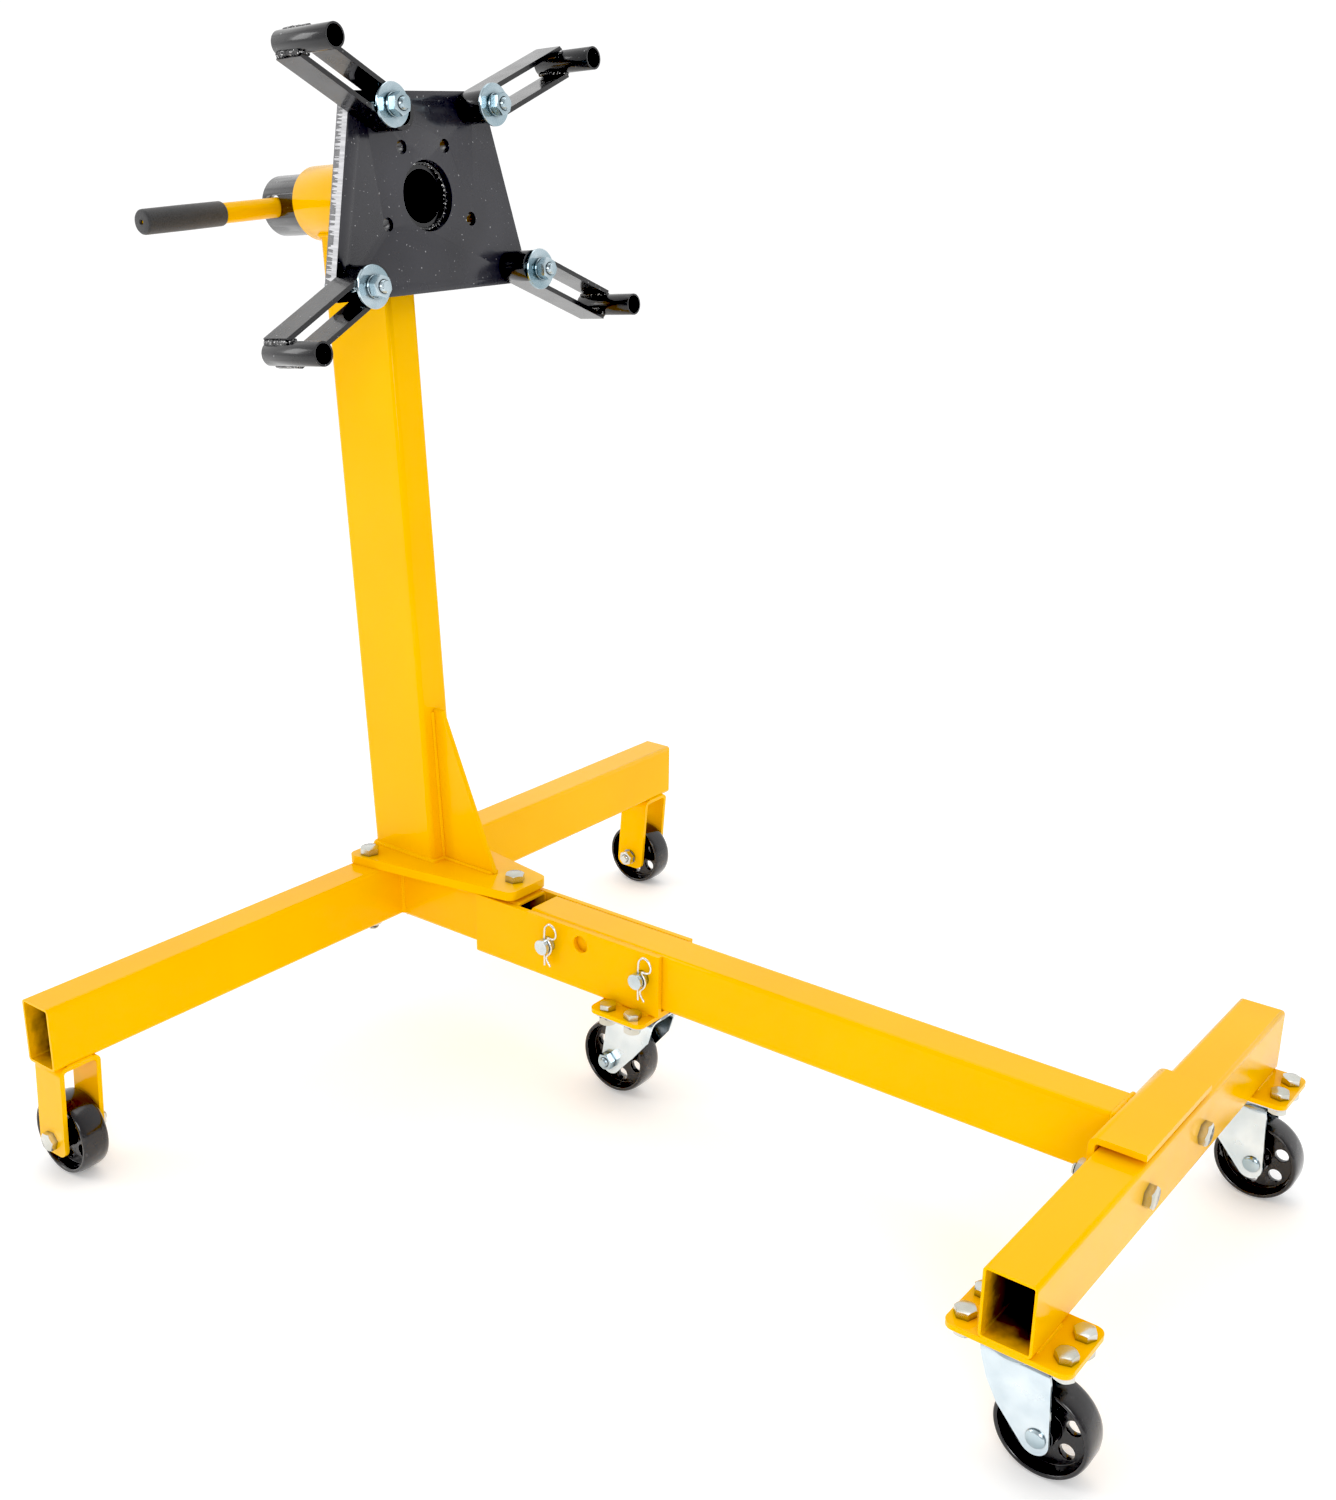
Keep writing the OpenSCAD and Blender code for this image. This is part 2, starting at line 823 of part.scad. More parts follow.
module beam_bracket() {
    rear = rear_x + crossbar_from_leg - bracket_t;
    top = beam_top + 4;
    bend = 9;
    difference() {
        color(part_yellow) rotate([90, 0, 0]) linear_extrude(bracket_w, center = true) difference() {
            union() {
                translate([rear, crossbar_low]) square([bracket_t, top - bend - crossbar_low]);
                translate([rear + bend, top - bracket_t]) square([beam_w + bracket_t - bend, bracket_t]);
                translate([rear + bend, top - bend]) circle(bend);
            }
            translate([rear + bracket_t, crossbar_low - 1]) square([60, top - bend - crossbar_low + 1]);
            translate([rear + bend, top - bend]) circle(bend - bracket_t);
            translate([rear + bend, top - bend - 10]) square([60, 10 + bend - bracket_t]);
        }
        bracket_bolt_places() rotate([0, 90, 0]) cylinder(d = bracket_bolt_d + 1, h = 80, center = true);
    }
}

module crossbar() {
    color(part_yellow) difference() {
        translate([crossbar_x, 0, crossbar_low + beam_h / 2]) tube_along_y(beam_w, beam_h, crossbar_len);
        bracket_bolt_places() rotate([0, 90, 0]) cylinder(d = bracket_bolt_d + 1, h = 80, center = true);
    }
}

module bracket_bolts() {
    head_h = 7.5;
    nut_h = 10;
    color(part_zinc) bracket_bolt_places() {
        translate([beam_w / 2, 0, 0]) rotate([0, -90, 0])
            bolt(bracket_bolt_d, beam_w + bracket_t + 14, bracket_flats, head_h);
        translate([-beam_w / 2 - bracket_t, 0, 0]) rotate([0, -90, 0])
            nut(bracket_bolt_d, bracket_flats, nut_h);
    }
}

// ---------- turning head ----------

module head_tube() {
    color(part_black) at_head() difference() {
        round_s(head_tube_d, head_tube_rear, head_tube_front);
        round_s(head_tube_d - 2 * head_tube_wall, head_tube_rear - 1, head_tube_front + 1);
        translate([rod_s, 0, 0]) bar_y(rod_hole_d / 2, -60, 60);
    }
}

module plate_outline() {
    r = 5;
    rise = plate_up + plate_down;
    slope = atan((plate_low_w - plate_top_w) / 2 / rise);
    top_mid = [plate_top_w / 2 - r * (1 - sin(slope)) / cos(slope), plate_up - r];
    low_mid = [plate_low_w / 2 - r * (1 + sin(slope)) / cos(slope), r - plate_down];
    out = r * [cos(slope), sin(slope)];
    for (side = [0, 1]) mirror([side, 0]) {
        polygon([
            [0, -plate_down], [low_mid[0], -plate_down], low_mid, low_mid + out,
            top_mid + out, top_mid, [top_mid[0], plate_up], [0, plate_up]
        ]);
        translate(top_mid) circle(r);
        translate(low_mid) circle(r);
    }
}

module head_plate() {
    color(part_black) at_head() difference() {
        translate([plate_back, 0, 0]) rotate([90, 0, 90]) linear_extrude(plate_t) plate_outline();
        round_s(head_tube_d, plate_back - 1, plate_front + 1);
        round_s(plate_hole_d, head_tube_front, plate_front + 1);
        for (side = [-1, 1]) {
            for (hole = index_holes) translate([0, side * hole[0], hole[1]])
                round_s(index_d, plate_back - 1, plate_front + 1);
            for (hole = [arm_top_bolt, arm_low_bolt]) translate([0, side * hole[0], hole[1]])
                round_s(arm_bolt_d + 0.2, plate_back - 1, plate_front + 1);
        }
    }
}

module arm_bolts() {
    head_h = 7.5;
    color(part_zinc) at_head() for (side = [-1, 1], hole = [arm_top_bolt, arm_low_bolt])
        translate([plate_back, side * hole[0], hole[1]]) rotate([0, 90, 0])
            bolt(arm_bolt_d, front_of_arm + 20 - plate_back, 19, head_h);
}

// places children with Y along the handle's rod
module at_rod() {
    translate([rod_s, 0, 0]) rotate([rod_droop, 0, 0]) children();
}

module handle_rod() {
    color(part_yellow) at_head() at_rod() bar_y(rod_d / 2, -rod_reach + 3, rod_far);
}

module handle_grip() {
    grip_d = 24;
    color(part_rubber) at_head() at_rod() difference() {
        union() {
            bar_y(grip_d / 2, -rod_reach + 2, -rod_reach + grip_len);
            bar_y(grip_d / 2 - 1.5, -rod_reach, -rod_reach + 3);
        }
        bar_y(rod_d / 2, -rod_reach + 3, 0);
        bar_y(2.5, -rod_reach - 1, 0);
    }
}

// places children in an arm's frame: X along the arm, Z along the head axis, origin at its bolt
module at_arm(arm) {
    at_head() translate([plate_front, arm[0] * arm[1][0], arm[1][1]])
        rotate([arm[0] > 0 ? arm[2] : 180 - arm[2], 0, 0]) rotate([90, 0, 90]) children();
}

module arm_clamp(arm) {
    color(part_zinc) at_arm(arm) translate([0, 0, bar_depth]) {
        ring(arm_washer_d, arm_bolt_d + 0.2, washer_t);
        translate([0, 0, washer_t]) ring(21.5, arm_bolt_d + 0.2, 2.5);
        translate([0, 0, washer_t + 2.5]) nut(arm_bolt_d + 0.2, 19, 10);
    }
}

module arm(arm) {
    width = arm_gap + 2 * bar_t;
    inner = arm[3] - arm_slot;
    color(part_black) at_arm(arm) {
        difference() {
            union() {
                linear_extrude(bar_depth) {
                    translate([inner, -width / 2]) square([arm_slot, width]);
                    translate([inner, 0]) circle(d = width);
                }
                translate([arm[3], 0, 0]) cylinder(d = arm_tube_d, h = arm_tube_len);
            }
            translate([0, 0, -1]) linear_extrude(bar_depth + 2) difference() {
                union() {
                    translate([inner, -arm_gap / 2]) square([arm_slot + 1, arm_gap]);
                    translate([inner, 0]) circle(d = arm_gap);
                }
                translate([arm[3], 0]) circle(d = arm_tube_d);
            }
            translate([arm[3], 0, -1]) cylinder(d = arm_bore, h = arm_tube_len + 2);
        }
    }
}

module arm_clamp_top_left() {
    arm_clamp(arm_top_left);
}

module arm_clamp_top_right() {
    arm_clamp(arm_top_right);
}

module arm_clamp_low_left() {
    arm_clamp(arm_low_left);
}

module arm_clamp_low_right() {
    arm_clamp(arm_low_right);
}

rear_leg();
stub_tube();
hinge_channel();
base_plate();
base_bolts();
post();
gusset();
sleeve();
middle_pad();
pivot_pin();
pivot_clip();
lock_pin();
lock_clip();
rear_fork_left();
rear_fork_right();
rear_axle_left();
rear_axle_right();
rear_wheel_left();
rear_wheel_right();
front_beam();
lock_pin_core();
beam_bracket();
bracket_bolts();
crossbar();
front_pad_left();
front_pad_right();
front_pad_bolts();
middle_pad_bolts();
caster_plate_front_left();
caster_plate_front_right();
caster_plate_middle();
kingpin_front_left();
kingpin_front_right();
kingpin_middle();
caster_fork_front_left();
caster_fork_front_right();
caster_fork_middle();
caster_axle_front_left();
caster_axle_front_right();
caster_axle_middle();
caster_wheel_front_left();
caster_wheel_front_right();
caster_wheel_middle();
head_tube();
head_plate();
arm_bolts();
handle_rod();
handle_grip();
arm_clamp_top_left();
arm_clamp_top_right();
arm_clamp_low_left();
arm_clamp_low_right();
arm(arm_top_left);
arm(arm_top_right);
arm(arm_low_left);
arm(arm_low_right);
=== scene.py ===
import json
import math
import random

import bmesh
import bpy
from mathutils import Matrix, Vector


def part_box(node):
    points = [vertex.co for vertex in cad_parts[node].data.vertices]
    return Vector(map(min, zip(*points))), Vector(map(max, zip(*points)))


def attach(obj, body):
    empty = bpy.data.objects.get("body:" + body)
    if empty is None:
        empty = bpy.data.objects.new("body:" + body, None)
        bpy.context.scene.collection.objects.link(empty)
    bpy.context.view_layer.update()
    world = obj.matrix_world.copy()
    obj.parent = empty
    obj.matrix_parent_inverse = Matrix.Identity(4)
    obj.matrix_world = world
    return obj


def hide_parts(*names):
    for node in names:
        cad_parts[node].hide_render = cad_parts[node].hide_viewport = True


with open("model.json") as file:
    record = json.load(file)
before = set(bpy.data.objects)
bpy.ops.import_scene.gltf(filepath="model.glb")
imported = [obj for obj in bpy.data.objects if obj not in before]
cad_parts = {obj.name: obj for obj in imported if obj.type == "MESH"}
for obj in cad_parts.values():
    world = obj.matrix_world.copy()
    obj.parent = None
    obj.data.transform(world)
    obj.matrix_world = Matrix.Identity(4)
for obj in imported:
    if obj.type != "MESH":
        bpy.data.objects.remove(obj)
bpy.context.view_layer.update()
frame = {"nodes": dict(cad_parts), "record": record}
nodes = frame["nodes"]
record = frame["record"]
body_of = {node: body for body, names in record["behaviour"]["bodies"].items() for node in names}
joints = {joint["name"]: joint for joint in record["behaviour"]["joints"]}
slot_of = {part["node"]: part["material_slot"] for part in record["subparts"]}
MM = 0.001

# ---------- camera ----------

# metres, degrees and millimetres, solved from the straight edges in the photograph
CAMERA_PLACE = (0.89525, -1.2361, 0.94088)
CAMERA_YAW = 52.831
CAMERA_PITCH = -19.690
CAMERA_ROLL = 0.710
CAMERA_LENS = 40.716
CAMERA_SHIFT = (0.0040, 0.0039)


def make_camera():
    yaw = math.radians(CAMERA_YAW)
    pitch = math.radians(CAMERA_PITCH)
    roll = math.radians(CAMERA_ROLL)
    forward = Vector((-math.cos(yaw) * math.cos(pitch), math.sin(yaw) * math.cos(pitch), math.sin(pitch)))
    level = forward.cross(Vector((0, 0, 1))).normalized()
    upright = level.cross(forward).normalized()
    right = level * math.cos(roll) + upright * math.sin(roll)
    up = upright * math.cos(roll) - level * math.sin(roll)
    camera = bpy.data.objects.new("camera", bpy.data.cameras.new("camera"))
    bpy.context.scene.collection.objects.link(camera)
    turn = Matrix((right, up, -forward)).transposed().to_4x4()
    camera.matrix_world = Matrix.Translation(CAMERA_PLACE) @ turn
    camera.data.lens = CAMERA_LENS
    camera.data.shift_x, camera.data.shift_y = CAMERA_SHIFT
    bpy.context.scene.camera = camera


# ---------- materials ----------


class Nodes:
    """A material's node tree with short calls for the nodes used here."""

    def __init__(self, name):
        self.material = bpy.data.materials.new(name)
        self.material.use_nodes = True
        self.tree = self.material.node_tree
        self.shader = self.tree.nodes["Principled BSDF"]
        self.place = self.add("ShaderNodeTexCoord").outputs["Object"]

    def add(self, kind, **settings):
        node = self.tree.nodes.new(kind)
        for key, value in settings.items():
            setattr(node, key, value)
        return node

    def feed(self, socket, value):
        if isinstance(value, bpy.types.NodeSocket):
            self.tree.links.new(value, socket)
        elif isinstance(value, tuple) and len(value) == 3 and socket.type == "RGBA":
            socket.default_value = (*value, 1)
        else:
            socket.default_value = value

    def math(self, operation, a, b=0.0):
        node = self.add("ShaderNodeMath", operation=operation)
        self.feed(node.inputs[0], a)
        self.feed(node.inputs[1], b)
        return node.outputs[0]

    def noise(self, scale, detail=2.0, stretch=None):
        node = self.add("ShaderNodeTexNoise")
        node.inputs["Scale"].default_value = scale
        node.inputs["Detail"].default_value = detail
        place = self.place
        if stretch:
            mapping = self.add("ShaderNodeMapping")
            mapping.inputs["Scale"].default_value = stretch
            self.feed(mapping.inputs["Vector"], place)
            place = mapping.outputs[0]
        self.feed(node.inputs["Vector"], place)
        return node.outputs["Fac"]

    def ramp(self, value, low, high, start=0.0, end=1.0):
        node = self.add("ShaderNodeMapRange")
        self.feed(node.inputs["Value"], value)
        for key, number in (("From Min", low), ("From Max", high), ("To Min", start), ("To Max", end)):
            node.inputs[key].default_value = number
        return node.outputs["Result"]

    def mix(self, amount, a, b):
        node = self.add("ShaderNodeMix", data_type="RGBA")
        self.feed(node.inputs[0], amount)
        self.feed(node.inputs[6], a)
        self.feed(node.inputs[7], b)
        return node.outputs[2]

    def bump(self, height, strength, depth, under=None):
        node = self.add("ShaderNodeBump")
        node.inputs["Strength"].default_value = strength
        node.inputs["Distance"].default_value = depth
        self.feed(node.inputs["Height"], height)
        if under:
            self.feed(node.inputs["Normal"], under)
        return node.outputs[0]

    def finish(self, **values):
        for key, value in values.items():
            self.feed(self.shader.inputs[key.replace("_", " ")], value)
        return self.material


# the head plate's reach over and under the axis, and half its width there
PLATE_UP = 95 * MM
PLATE_DOWN = 90 * MM
PLATE_TOP_HALF = 88 * MM
PLATE_LOW_HALF = 136 * MM
# bare steel, darkened as painted shade for the dark inside of a tube
SHADED_BARE_STEEL = (0.12, 0.085, 0.04)
YELLOW = (0.925, 0.505, 0.0)
YELLOW_DEEP = (0.90, 0.475, 0.0)
BLACK = (0.010, 0.010, 0.0115)
# the spray thins out between these depths inside a tube's mouth; past them bare steel is darkened as
# painted shade
SPRAY_END, SPRAY_START = 24 * MM, 2 * MM
SPRAY_DRIFT = 30 * MM
PLATE_EDGE = 4 * MM


def yellow_paint(name, inside=None):
    """Glossy powder coat. inside is a tube's middle, inner half size, axis and half length.

    The paint then stops just inside the tube's mouths, with bare steel beyond it, darkened as painted shade
    for the tube's dark inside.
    """
    n = Nodes(name)
    colour = n.mix(n.ramp(n.noise(7.0), 0.35, 0.65), YELLOW, YELLOW_DEEP)
    rough = n.ramp(n.noise(55.0, 3.0), 0.3, 0.7, 0.17, 0.27)
    if inside:
        middle, half, axis, reach = inside
        split = n.add("ShaderNodeSeparateXYZ")
        n.feed(split.inputs[0], n.place)
        bare_and_shaded = 1.0
        for side in range(3):
            if side == axis:
                continue
            away = n.math("ABSOLUTE", n.math("SUBTRACT", split.outputs[side], middle[side]))
            bare_and_shaded = n.math("MULTIPLY", bare_and_shaded, n.math("LESS_THAN", away, half[side] + 0.4 * MM))
        along = n.math("ABSOLUTE", n.math("SUBTRACT", split.outputs[axis], middle[axis]))
        drift = n.math("MULTIPLY", n.math("SUBTRACT", n.noise(70.0, 3.0), 0.5), SPRAY_DRIFT)
        depth = n.math("ADD", along, drift)
        deep_inside = n.ramp(depth, reach - SPRAY_END, reach - SPRAY_START, 1.0, 0.0)
        bare_and_shaded = n.math("MULTIPLY", bare_and_shaded, deep_inside)
        # deep inside a tube the colour is bare steel darkened as painted shade
        colour = n.mix(bare_and_shaded, colour, SHADED_BARE_STEEL)
        rough = n.math("ADD", rough, n.math("MULTIPLY", bare_and_shaded, 0.4))
    peel = n.bump(n.noise(420.0, 1.0), 0.08, 0.0005)
    peel = n.bump(n.noise(60.0, 1.0), 0.06, 0.001, peel)
    return n.finish(
        Base_Color=colour, Roughness=rough, Normal=peel, IOR=1.33,
        Coat_Weight=0.14, Coat_Roughness=0.06, Coat_IOR=1.35,
    )


def black_paint(name, weld=False):
    """Gloss black with orange peel and a few dust specks; a weld has more and brighter ones, which are
    painted highlights standing for glints on the bead.
    """
    n = Nodes(name)
    # the pale specks are dust on plain paint and painted highlights on a weld
    specks = n.ramp(n.noise(520.0 if weld else 330.0, 1.0), 0.62 if weld else 0.75, 0.66 if weld else 0.78)
    colour = n.mix(specks, BLACK, (0.75, 0.75, 0.75) if weld else (0.30, 0.30, 0.31))
    rough = n.ramp(n.noise(40.0, 3.0), 0.3, 0.7, 0.16, 0.30)
    rough = n.math("ADD", rough, n.math("MULTIPLY", specks, 0.3))
    peel = n.bump(n.noise(380.0, 1.0), 0.22 if weld else 0.10, 0.0006)
    peel = n.bump(n.noise(90.0, 2.0), 0.10, 0.001, peel)
    return n.finish(
        Base_Color=colour, Roughness=rough, Normal=peel, IOR=1.5,
        Coat_Weight=0.5, Coat_Roughness=0.08,
    )


def plate_paint(turn, front, thick):
    """Gloss black, lighter than the other black paint as painted sheen. On the plate's cut sides a pale
    ground band lies in front of a dark one.
    """
    n = Nodes("black_plate")
    specks = n.ramp(n.noise(330.0, 1.0), 0.745, 0.775)
    # a lighter black than the other paint: painted sheen, with a cloudy tone
    cloud = n.mix(n.ramp(n.noise(9.0, 2.0), 0.35, 0.65), (0.024, 0.024, 0.029), (0.038, 0.038, 0.046))
    colour = n.mix(specks, cloud, (0.35, 0.35, 0.36))
    away = turn.inverted()
    along = n.add("ShaderNodeVectorMath", operation="DOT_PRODUCT")
    n.feed(along.inputs[0], n.place)
    along.inputs[1].default_value = away[0][:3]
    depth = n.math("SUBTRACT", front - away[0][3], along.outputs["Value"])
    facing = n.add("ShaderNodeVectorMath", operation="DOT_PRODUCT")
    n.feed(facing.inputs[0], n.add("ShaderNodeTexCoord").outputs["Normal"])
    facing.inputs[1].default_value = away[0][:3]
    edge = n.math("LESS_THAN", n.math("ABSOLUTE", facing.outputs["Value"]), 0.5)
    side = n.add("ShaderNodeVectorMath", operation="DOT_PRODUCT")
    n.feed(side.inputs[0], n.place)
    side.inputs[1].default_value = away[1][:3]
    rise = n.add("ShaderNodeVectorMath", operation="DOT_PRODUCT")
    n.feed(rise.inputs[0], n.place)
    rise.inputs[1].default_value = away[2][:3]
    height = n.math("ADD", rise.outputs["Value"], away[2][3])
    width = n.ramp(height, -PLATE_DOWN, PLATE_UP, PLATE_LOW_HALF, PLATE_TOP_HALF)
    from_axis = n.math("ABSOLUTE", n.math("ADD", side.outputs["Value"], away[1][3]))
    outer = n.math("GREATER_THAN", from_axis, n.math("SUBTRACT", width, PLATE_EDGE))
    edge = n.math("MULTIPLY", edge, outer)
    ticks = n.noise(260.0, 2.0, (0.12, 0.12, 1.7))
    limit = n.ramp(ticks, 0.47, 0.56, thick * 0.46, thick * 0.92)
    pale = n.math("MULTIPLY", edge, n.math("LESS_THAN", depth, limit))
    scratch = n.ramp(n.noise(90.0, 3.0, (0.3, 0.3, 5.0)), 0.35, 0.65)
    colour = n.mix(pale, colour, n.mix(scratch, (0.42, 0.42, 0.44), (0.62, 0.62, 0.64)))
    rough = n.ramp(n.noise(40.0, 3.0), 0.3, 0.7, 0.18, 0.32)
    rough = n.math("ADD", rough, n.math("MULTIPLY", pale, 0.2))
    peel = n.bump(n.noise(380.0, 1.0), 0.10, 0.0006)
    peel = n.bump(n.math("MULTIPLY", ticks, edge), 0.5, 0.0012, peel)
    return n.finish(
        Base_Color=colour, Roughness=rough, Normal=peel, IOR=1.5,
        Coat_Weight=0.4, Coat_Roughness=0.08,
    )


def zinc(name, colour, tint, rough, grain, corner_shade=0.3, reach=0.006):
    """Cloudy zinc plate with a fine grain. Corners closer than reach get painted shade, darkened by up to
    the share given for it.
    """
    n = Nodes(name)
    cloud = n.ramp(n.noise(28.0, 3.0), 0.35, 0.65)
    spark = n.ramp(n.noise(900.0, 1.0), 0.3, 0.7)
    base = n.mix(cloud, colour, tint)
    base = n.mix(n.math("MULTIPLY", spark, 0.2), base, (0.62, 0.66, 0.70))
    # ambient occlusion: corners and creases get painted shade
    occlusion = n.add("ShaderNodeAmbientOcclusion", samples=8)
    occlusion.inputs["Distance"].default_value = reach
    unshaded = n.ramp(occlusion.outputs["AO"], 0.25, 0.9, 1.0 - corner_shade, 1.0)
    # blending towards dark grey here is painted shade
    base = n.mix(unshaded, (0.05, 0.055, 0.06), base)
    roughness = n.ramp(n.noise(60.0, 4.0), 0.3, 0.7, rough - 0.06, rough + 0.10)
    normal = n.bump(n.noise(grain, 2.0), 0.10, 0.0004)
    return n.finish(Base_Color=base, Metallic=0.95, Roughness=roughness, Normal=normal)


def foam_grip():
    n = Nodes("foam_grip")
    cells = n.add("ShaderNodeTexVoronoi")
    cells.inputs["Scale"].default_value = 1400.0
    n.feed(cells.inputs["Vector"], n.place)
    grain = n.noise(1100.0, 3.0)
    colour = n.mix(n.ramp(grain, 0.3, 0.75), (0.020, 0.020, 0.021), (0.062, 0.062, 0.064))
    normal = n.bump(cells.outputs["Distance"], 0.35, 0.0004)
    normal = n.bump(grain, 0.4, 0.0003, normal)
    return n.finish(
        Base_Color=colour, Roughness=0.78, Normal=normal, Sheen_Weight=0.25, Sheen_Roughness=0.6,
    )


def cast_black():
    """The wheels' thick gloss enamel over a cast surface, rubbed grey in spots."""
    n = Nodes("black_wheel")
    worn = n.ramp(n.noise(130.0, 4.0), 0.60, 0.78)
    colour = n.mix(n.math("MULTIPLY", worn, 0.35), (0.011, 0.010, 0.0115), (0.16, 0.155, 0.16))
    rough = n.ramp(n.noise(80.0, 3.0), 0.3, 0.7, 0.14, 0.32)
    normal = n.bump(n.noise(260.0, 3.0), 0.22, 0.0008)
    normal = n.bump(n.noise(45.0, 2.0), 0.20, 0.0015, normal)
    return n.finish(
        Base_Color=colour, Roughness=rough, Normal=normal, IOR=1.5,
        Coat_Weight=0.6, Coat_Roughness=0.07,
    )


# ---------- mesh code ----------


def lathe(profile, sides=48):
    """Revolves (radius, height) pairs about Z. A radius of 0 closes an end."""
    points, faces, rings = [], [], []
    for radius, height in profile:
        if radius == 0:
            rings.append([len(points)])
            points.append(Vector((0, 0, height)))
            continue
        rings.append(range(len(points), len(points) + sides))
        for i in range(sides):
            angle = 2 * math.pi * i / sides
            points.append(Vector((radius * math.cos(angle), radius * math.sin(angle), height)))
    for low, high in zip(rings, rings[1:]):
        for i in range(sides):
            j = (i + 1) % sides
            if len(low) == 1:
                faces.append((low[0], high[j], high[i]))
            elif len(high) == 1:
                faces.append((low[i], low[j], high[0]))
            else:
                faces.append((low[i], low[j], high[j], high[i]))
    return points, faces


def ring_body(profile, sides=48):
    """A closed ring. The profile runs once round its section, anticlockwise with Z up."""
    points, faces = lathe(profile, sides)
    first, last = 0, len(points) - sides
    for i in range(sides):
        j = (i + 1) % sides
        faces.append((last + i, last + j, first + j, first + i))
    return points, faces


def hexagon(flats, height, bore=0.0, both=False):
    """Hex head or nut along +Z with a turned chamfer on top, or on both faces; a bore makes it a nut."""
    steps = 60
    half = flats / 2
    lip = half * 0.97
    slope = math.tan(math.radians(30))
    lead = 0.6 * MM

    def corner(i):
        angle = math.radians(i * 360 / steps % 60 - 30)
        return half / math.cos(angle)

    def at(i, radius, z):
        angle = 2 * math.pi * i / steps
        return Vector((radius * math.cos(angle), radius * math.sin(angle), z))

    rows = []
    if both:
        rows.append([at(i, lip, 0) for i in range(steps)])
        rows.append([at(i, corner(i), (corner(i) - lip) * slope) for i in range(steps)])
    else:
        rows.append([at(i, corner(i), 0) for i in range(steps)])
    rows.append([at(i, corner(i), height - (corner(i) - lip) * slope) for i in range(steps)])
    rows.append([at(i, lip, height) for i in range(steps)])
    if bore:
        rows.append([at(i, bore / 2 + lead, height) for i in range(steps)])
        rows.append([at(i, bore / 2, height - lead) for i in range(steps)])
        rows.append([at(i, bore / 2, 0) for i in range(steps)])
    points = [p for row in rows for p in row]
    faces = []
    for k in range(len(rows) - 1):
        for i in range(steps):
            j = (i + 1) % steps
            faces.append((k * steps + i, k * steps + j, (k + 1) * steps + j, (k + 1) * steps + i))
    top = (len(rows) - 1) * steps
    if bore:
        faces += [(top + i, top + (i + 1) % steps, (i + 1) % steps, i) for i in range(steps)]
    else:
        faces.append(tuple(range(top, top + steps)))
        faces.append(tuple(reversed(range(steps))))
    return points, faces


def stud(diameter, length, pitch, plain=0.0):
    """A threaded rod along +Z, plain at its start, with a chamfered tip at its end."""
    sides, per_turn = 28, 6
    depth = 0.55 * pitch
    rows = [(0.0, diameter / 2)]
    if plain > 0:
        rows.append((plain, diameter / 2))
    z = plain + pitch / per_turn
    while z < length - pitch:
        rows.append((z, None))
        z += pitch / per_turn
    rows += [(length - 0.5 * pitch, diameter / 2 - depth * 0.7), (length, diameter / 2 - 1.2 * depth)]
    points, faces = [], []
    for z, radius in rows:
        for i in range(sides):
            turn = i / sides
            phase = (z / pitch - turn) % 1.0
            r = radius if radius is not None else diameter / 2 - depth * abs(2 * phase - 1)
            angle = 2 * math.pi * turn
            points.append(Vector((r * math.cos(angle), r * math.sin(angle), z)))
    for k in range(len(rows) - 1):
        for i in range(sides):
            j = (i + 1) % sides
            faces.append((k * sides + i, k * sides + j, (k + 1) * sides + j, (k + 1) * sides + i))
    faces.append(tuple(reversed(range(sides))))
    faces.append(tuple(range((len(rows) - 1) * sides, len(rows) * sides)))
    return points, faces


def sweep(path, radii, sides=10, closed=False):
    """A round tube along a path, with one radius for each of its points."""
    count = len(path)
    points, faces = [], []
    side = None
    for k, middle in enumerate(path):
        if closed:
            ahead = path[(k + 1) % count] - path[k - 1]
        else:
            ahead = path[min(k + 1, count - 1)] - path[max(k - 1, 0)]
        ahead.normalize()
        if side is None:
            side = ahead.orthogonal().normalized()
        side = (side - ahead * side.dot(ahead)).normalized()
        other = ahead.cross(side)
        for i in range(sides):
            angle = 2 * math.pi * i / sides
            points.append(middle + radii[k] * (side * math.cos(angle) + other * math.sin(angle)))
    for k in range(count if closed else count - 1):
        low, high = k * sides, (k + 1) % count * sides
        for i in range(sides):
            j = (i + 1) % sides
            faces.append((low + i, low + j, high + j, high + i))
    if not closed:
        faces.append(tuple(reversed(range(sides))))
        faces.append(tuple(range((count - 1) * sides, count * sides)))
    return points, faces


def even(path, step, closed=False):
    """The path's points again, about a step apart."""
    if closed:
        path = path + [path[0]]
    out = []
    for a, b in zip(path, path[1:]):
        parts = max(1, round((b - a).length / step))
        out += [a.lerp(b, i / parts) for i in range(parts)]
    return out if closed else out + [path[-1]]


# distance between the rings of a bead's mesh
BEAD_STEP = 1.1 * MM


def bead(path, radius, seed, closed=False):
    """A weld bead: overlapping ripples with an uneven width."""
    draw = random.Random(seed)
    spots = even([Vector(p) for p in path], BEAD_STEP, closed)
    radii = []
    swell = 0.0
    for k in range(len(spots)):
        swell = 0.85 * swell + draw.uniform(-0.06, 0.06)
        radii.append(radius * (0.86 + 0.14 * abs(math.sin(k * 0.95)) + swell))
    if not closed:
        radii[0] = radii[-1] = radius * 0.35
    return sweep(spots, radii, 8, closed)


def placed(shape, matrix):
    points, faces = shape
    return [matrix @ p for p in points], faces


def facing(place, direction, spin=0.0):
    """Puts +Z of a shape along a direction, at a place."""
    turn = Vector(direction).to_track_quat("Z", "Y").to_matrix().to_4x4()
    return Matrix.Translation(place) @ turn @ Matrix.Rotation(math.radians(spin), 4, "Z")


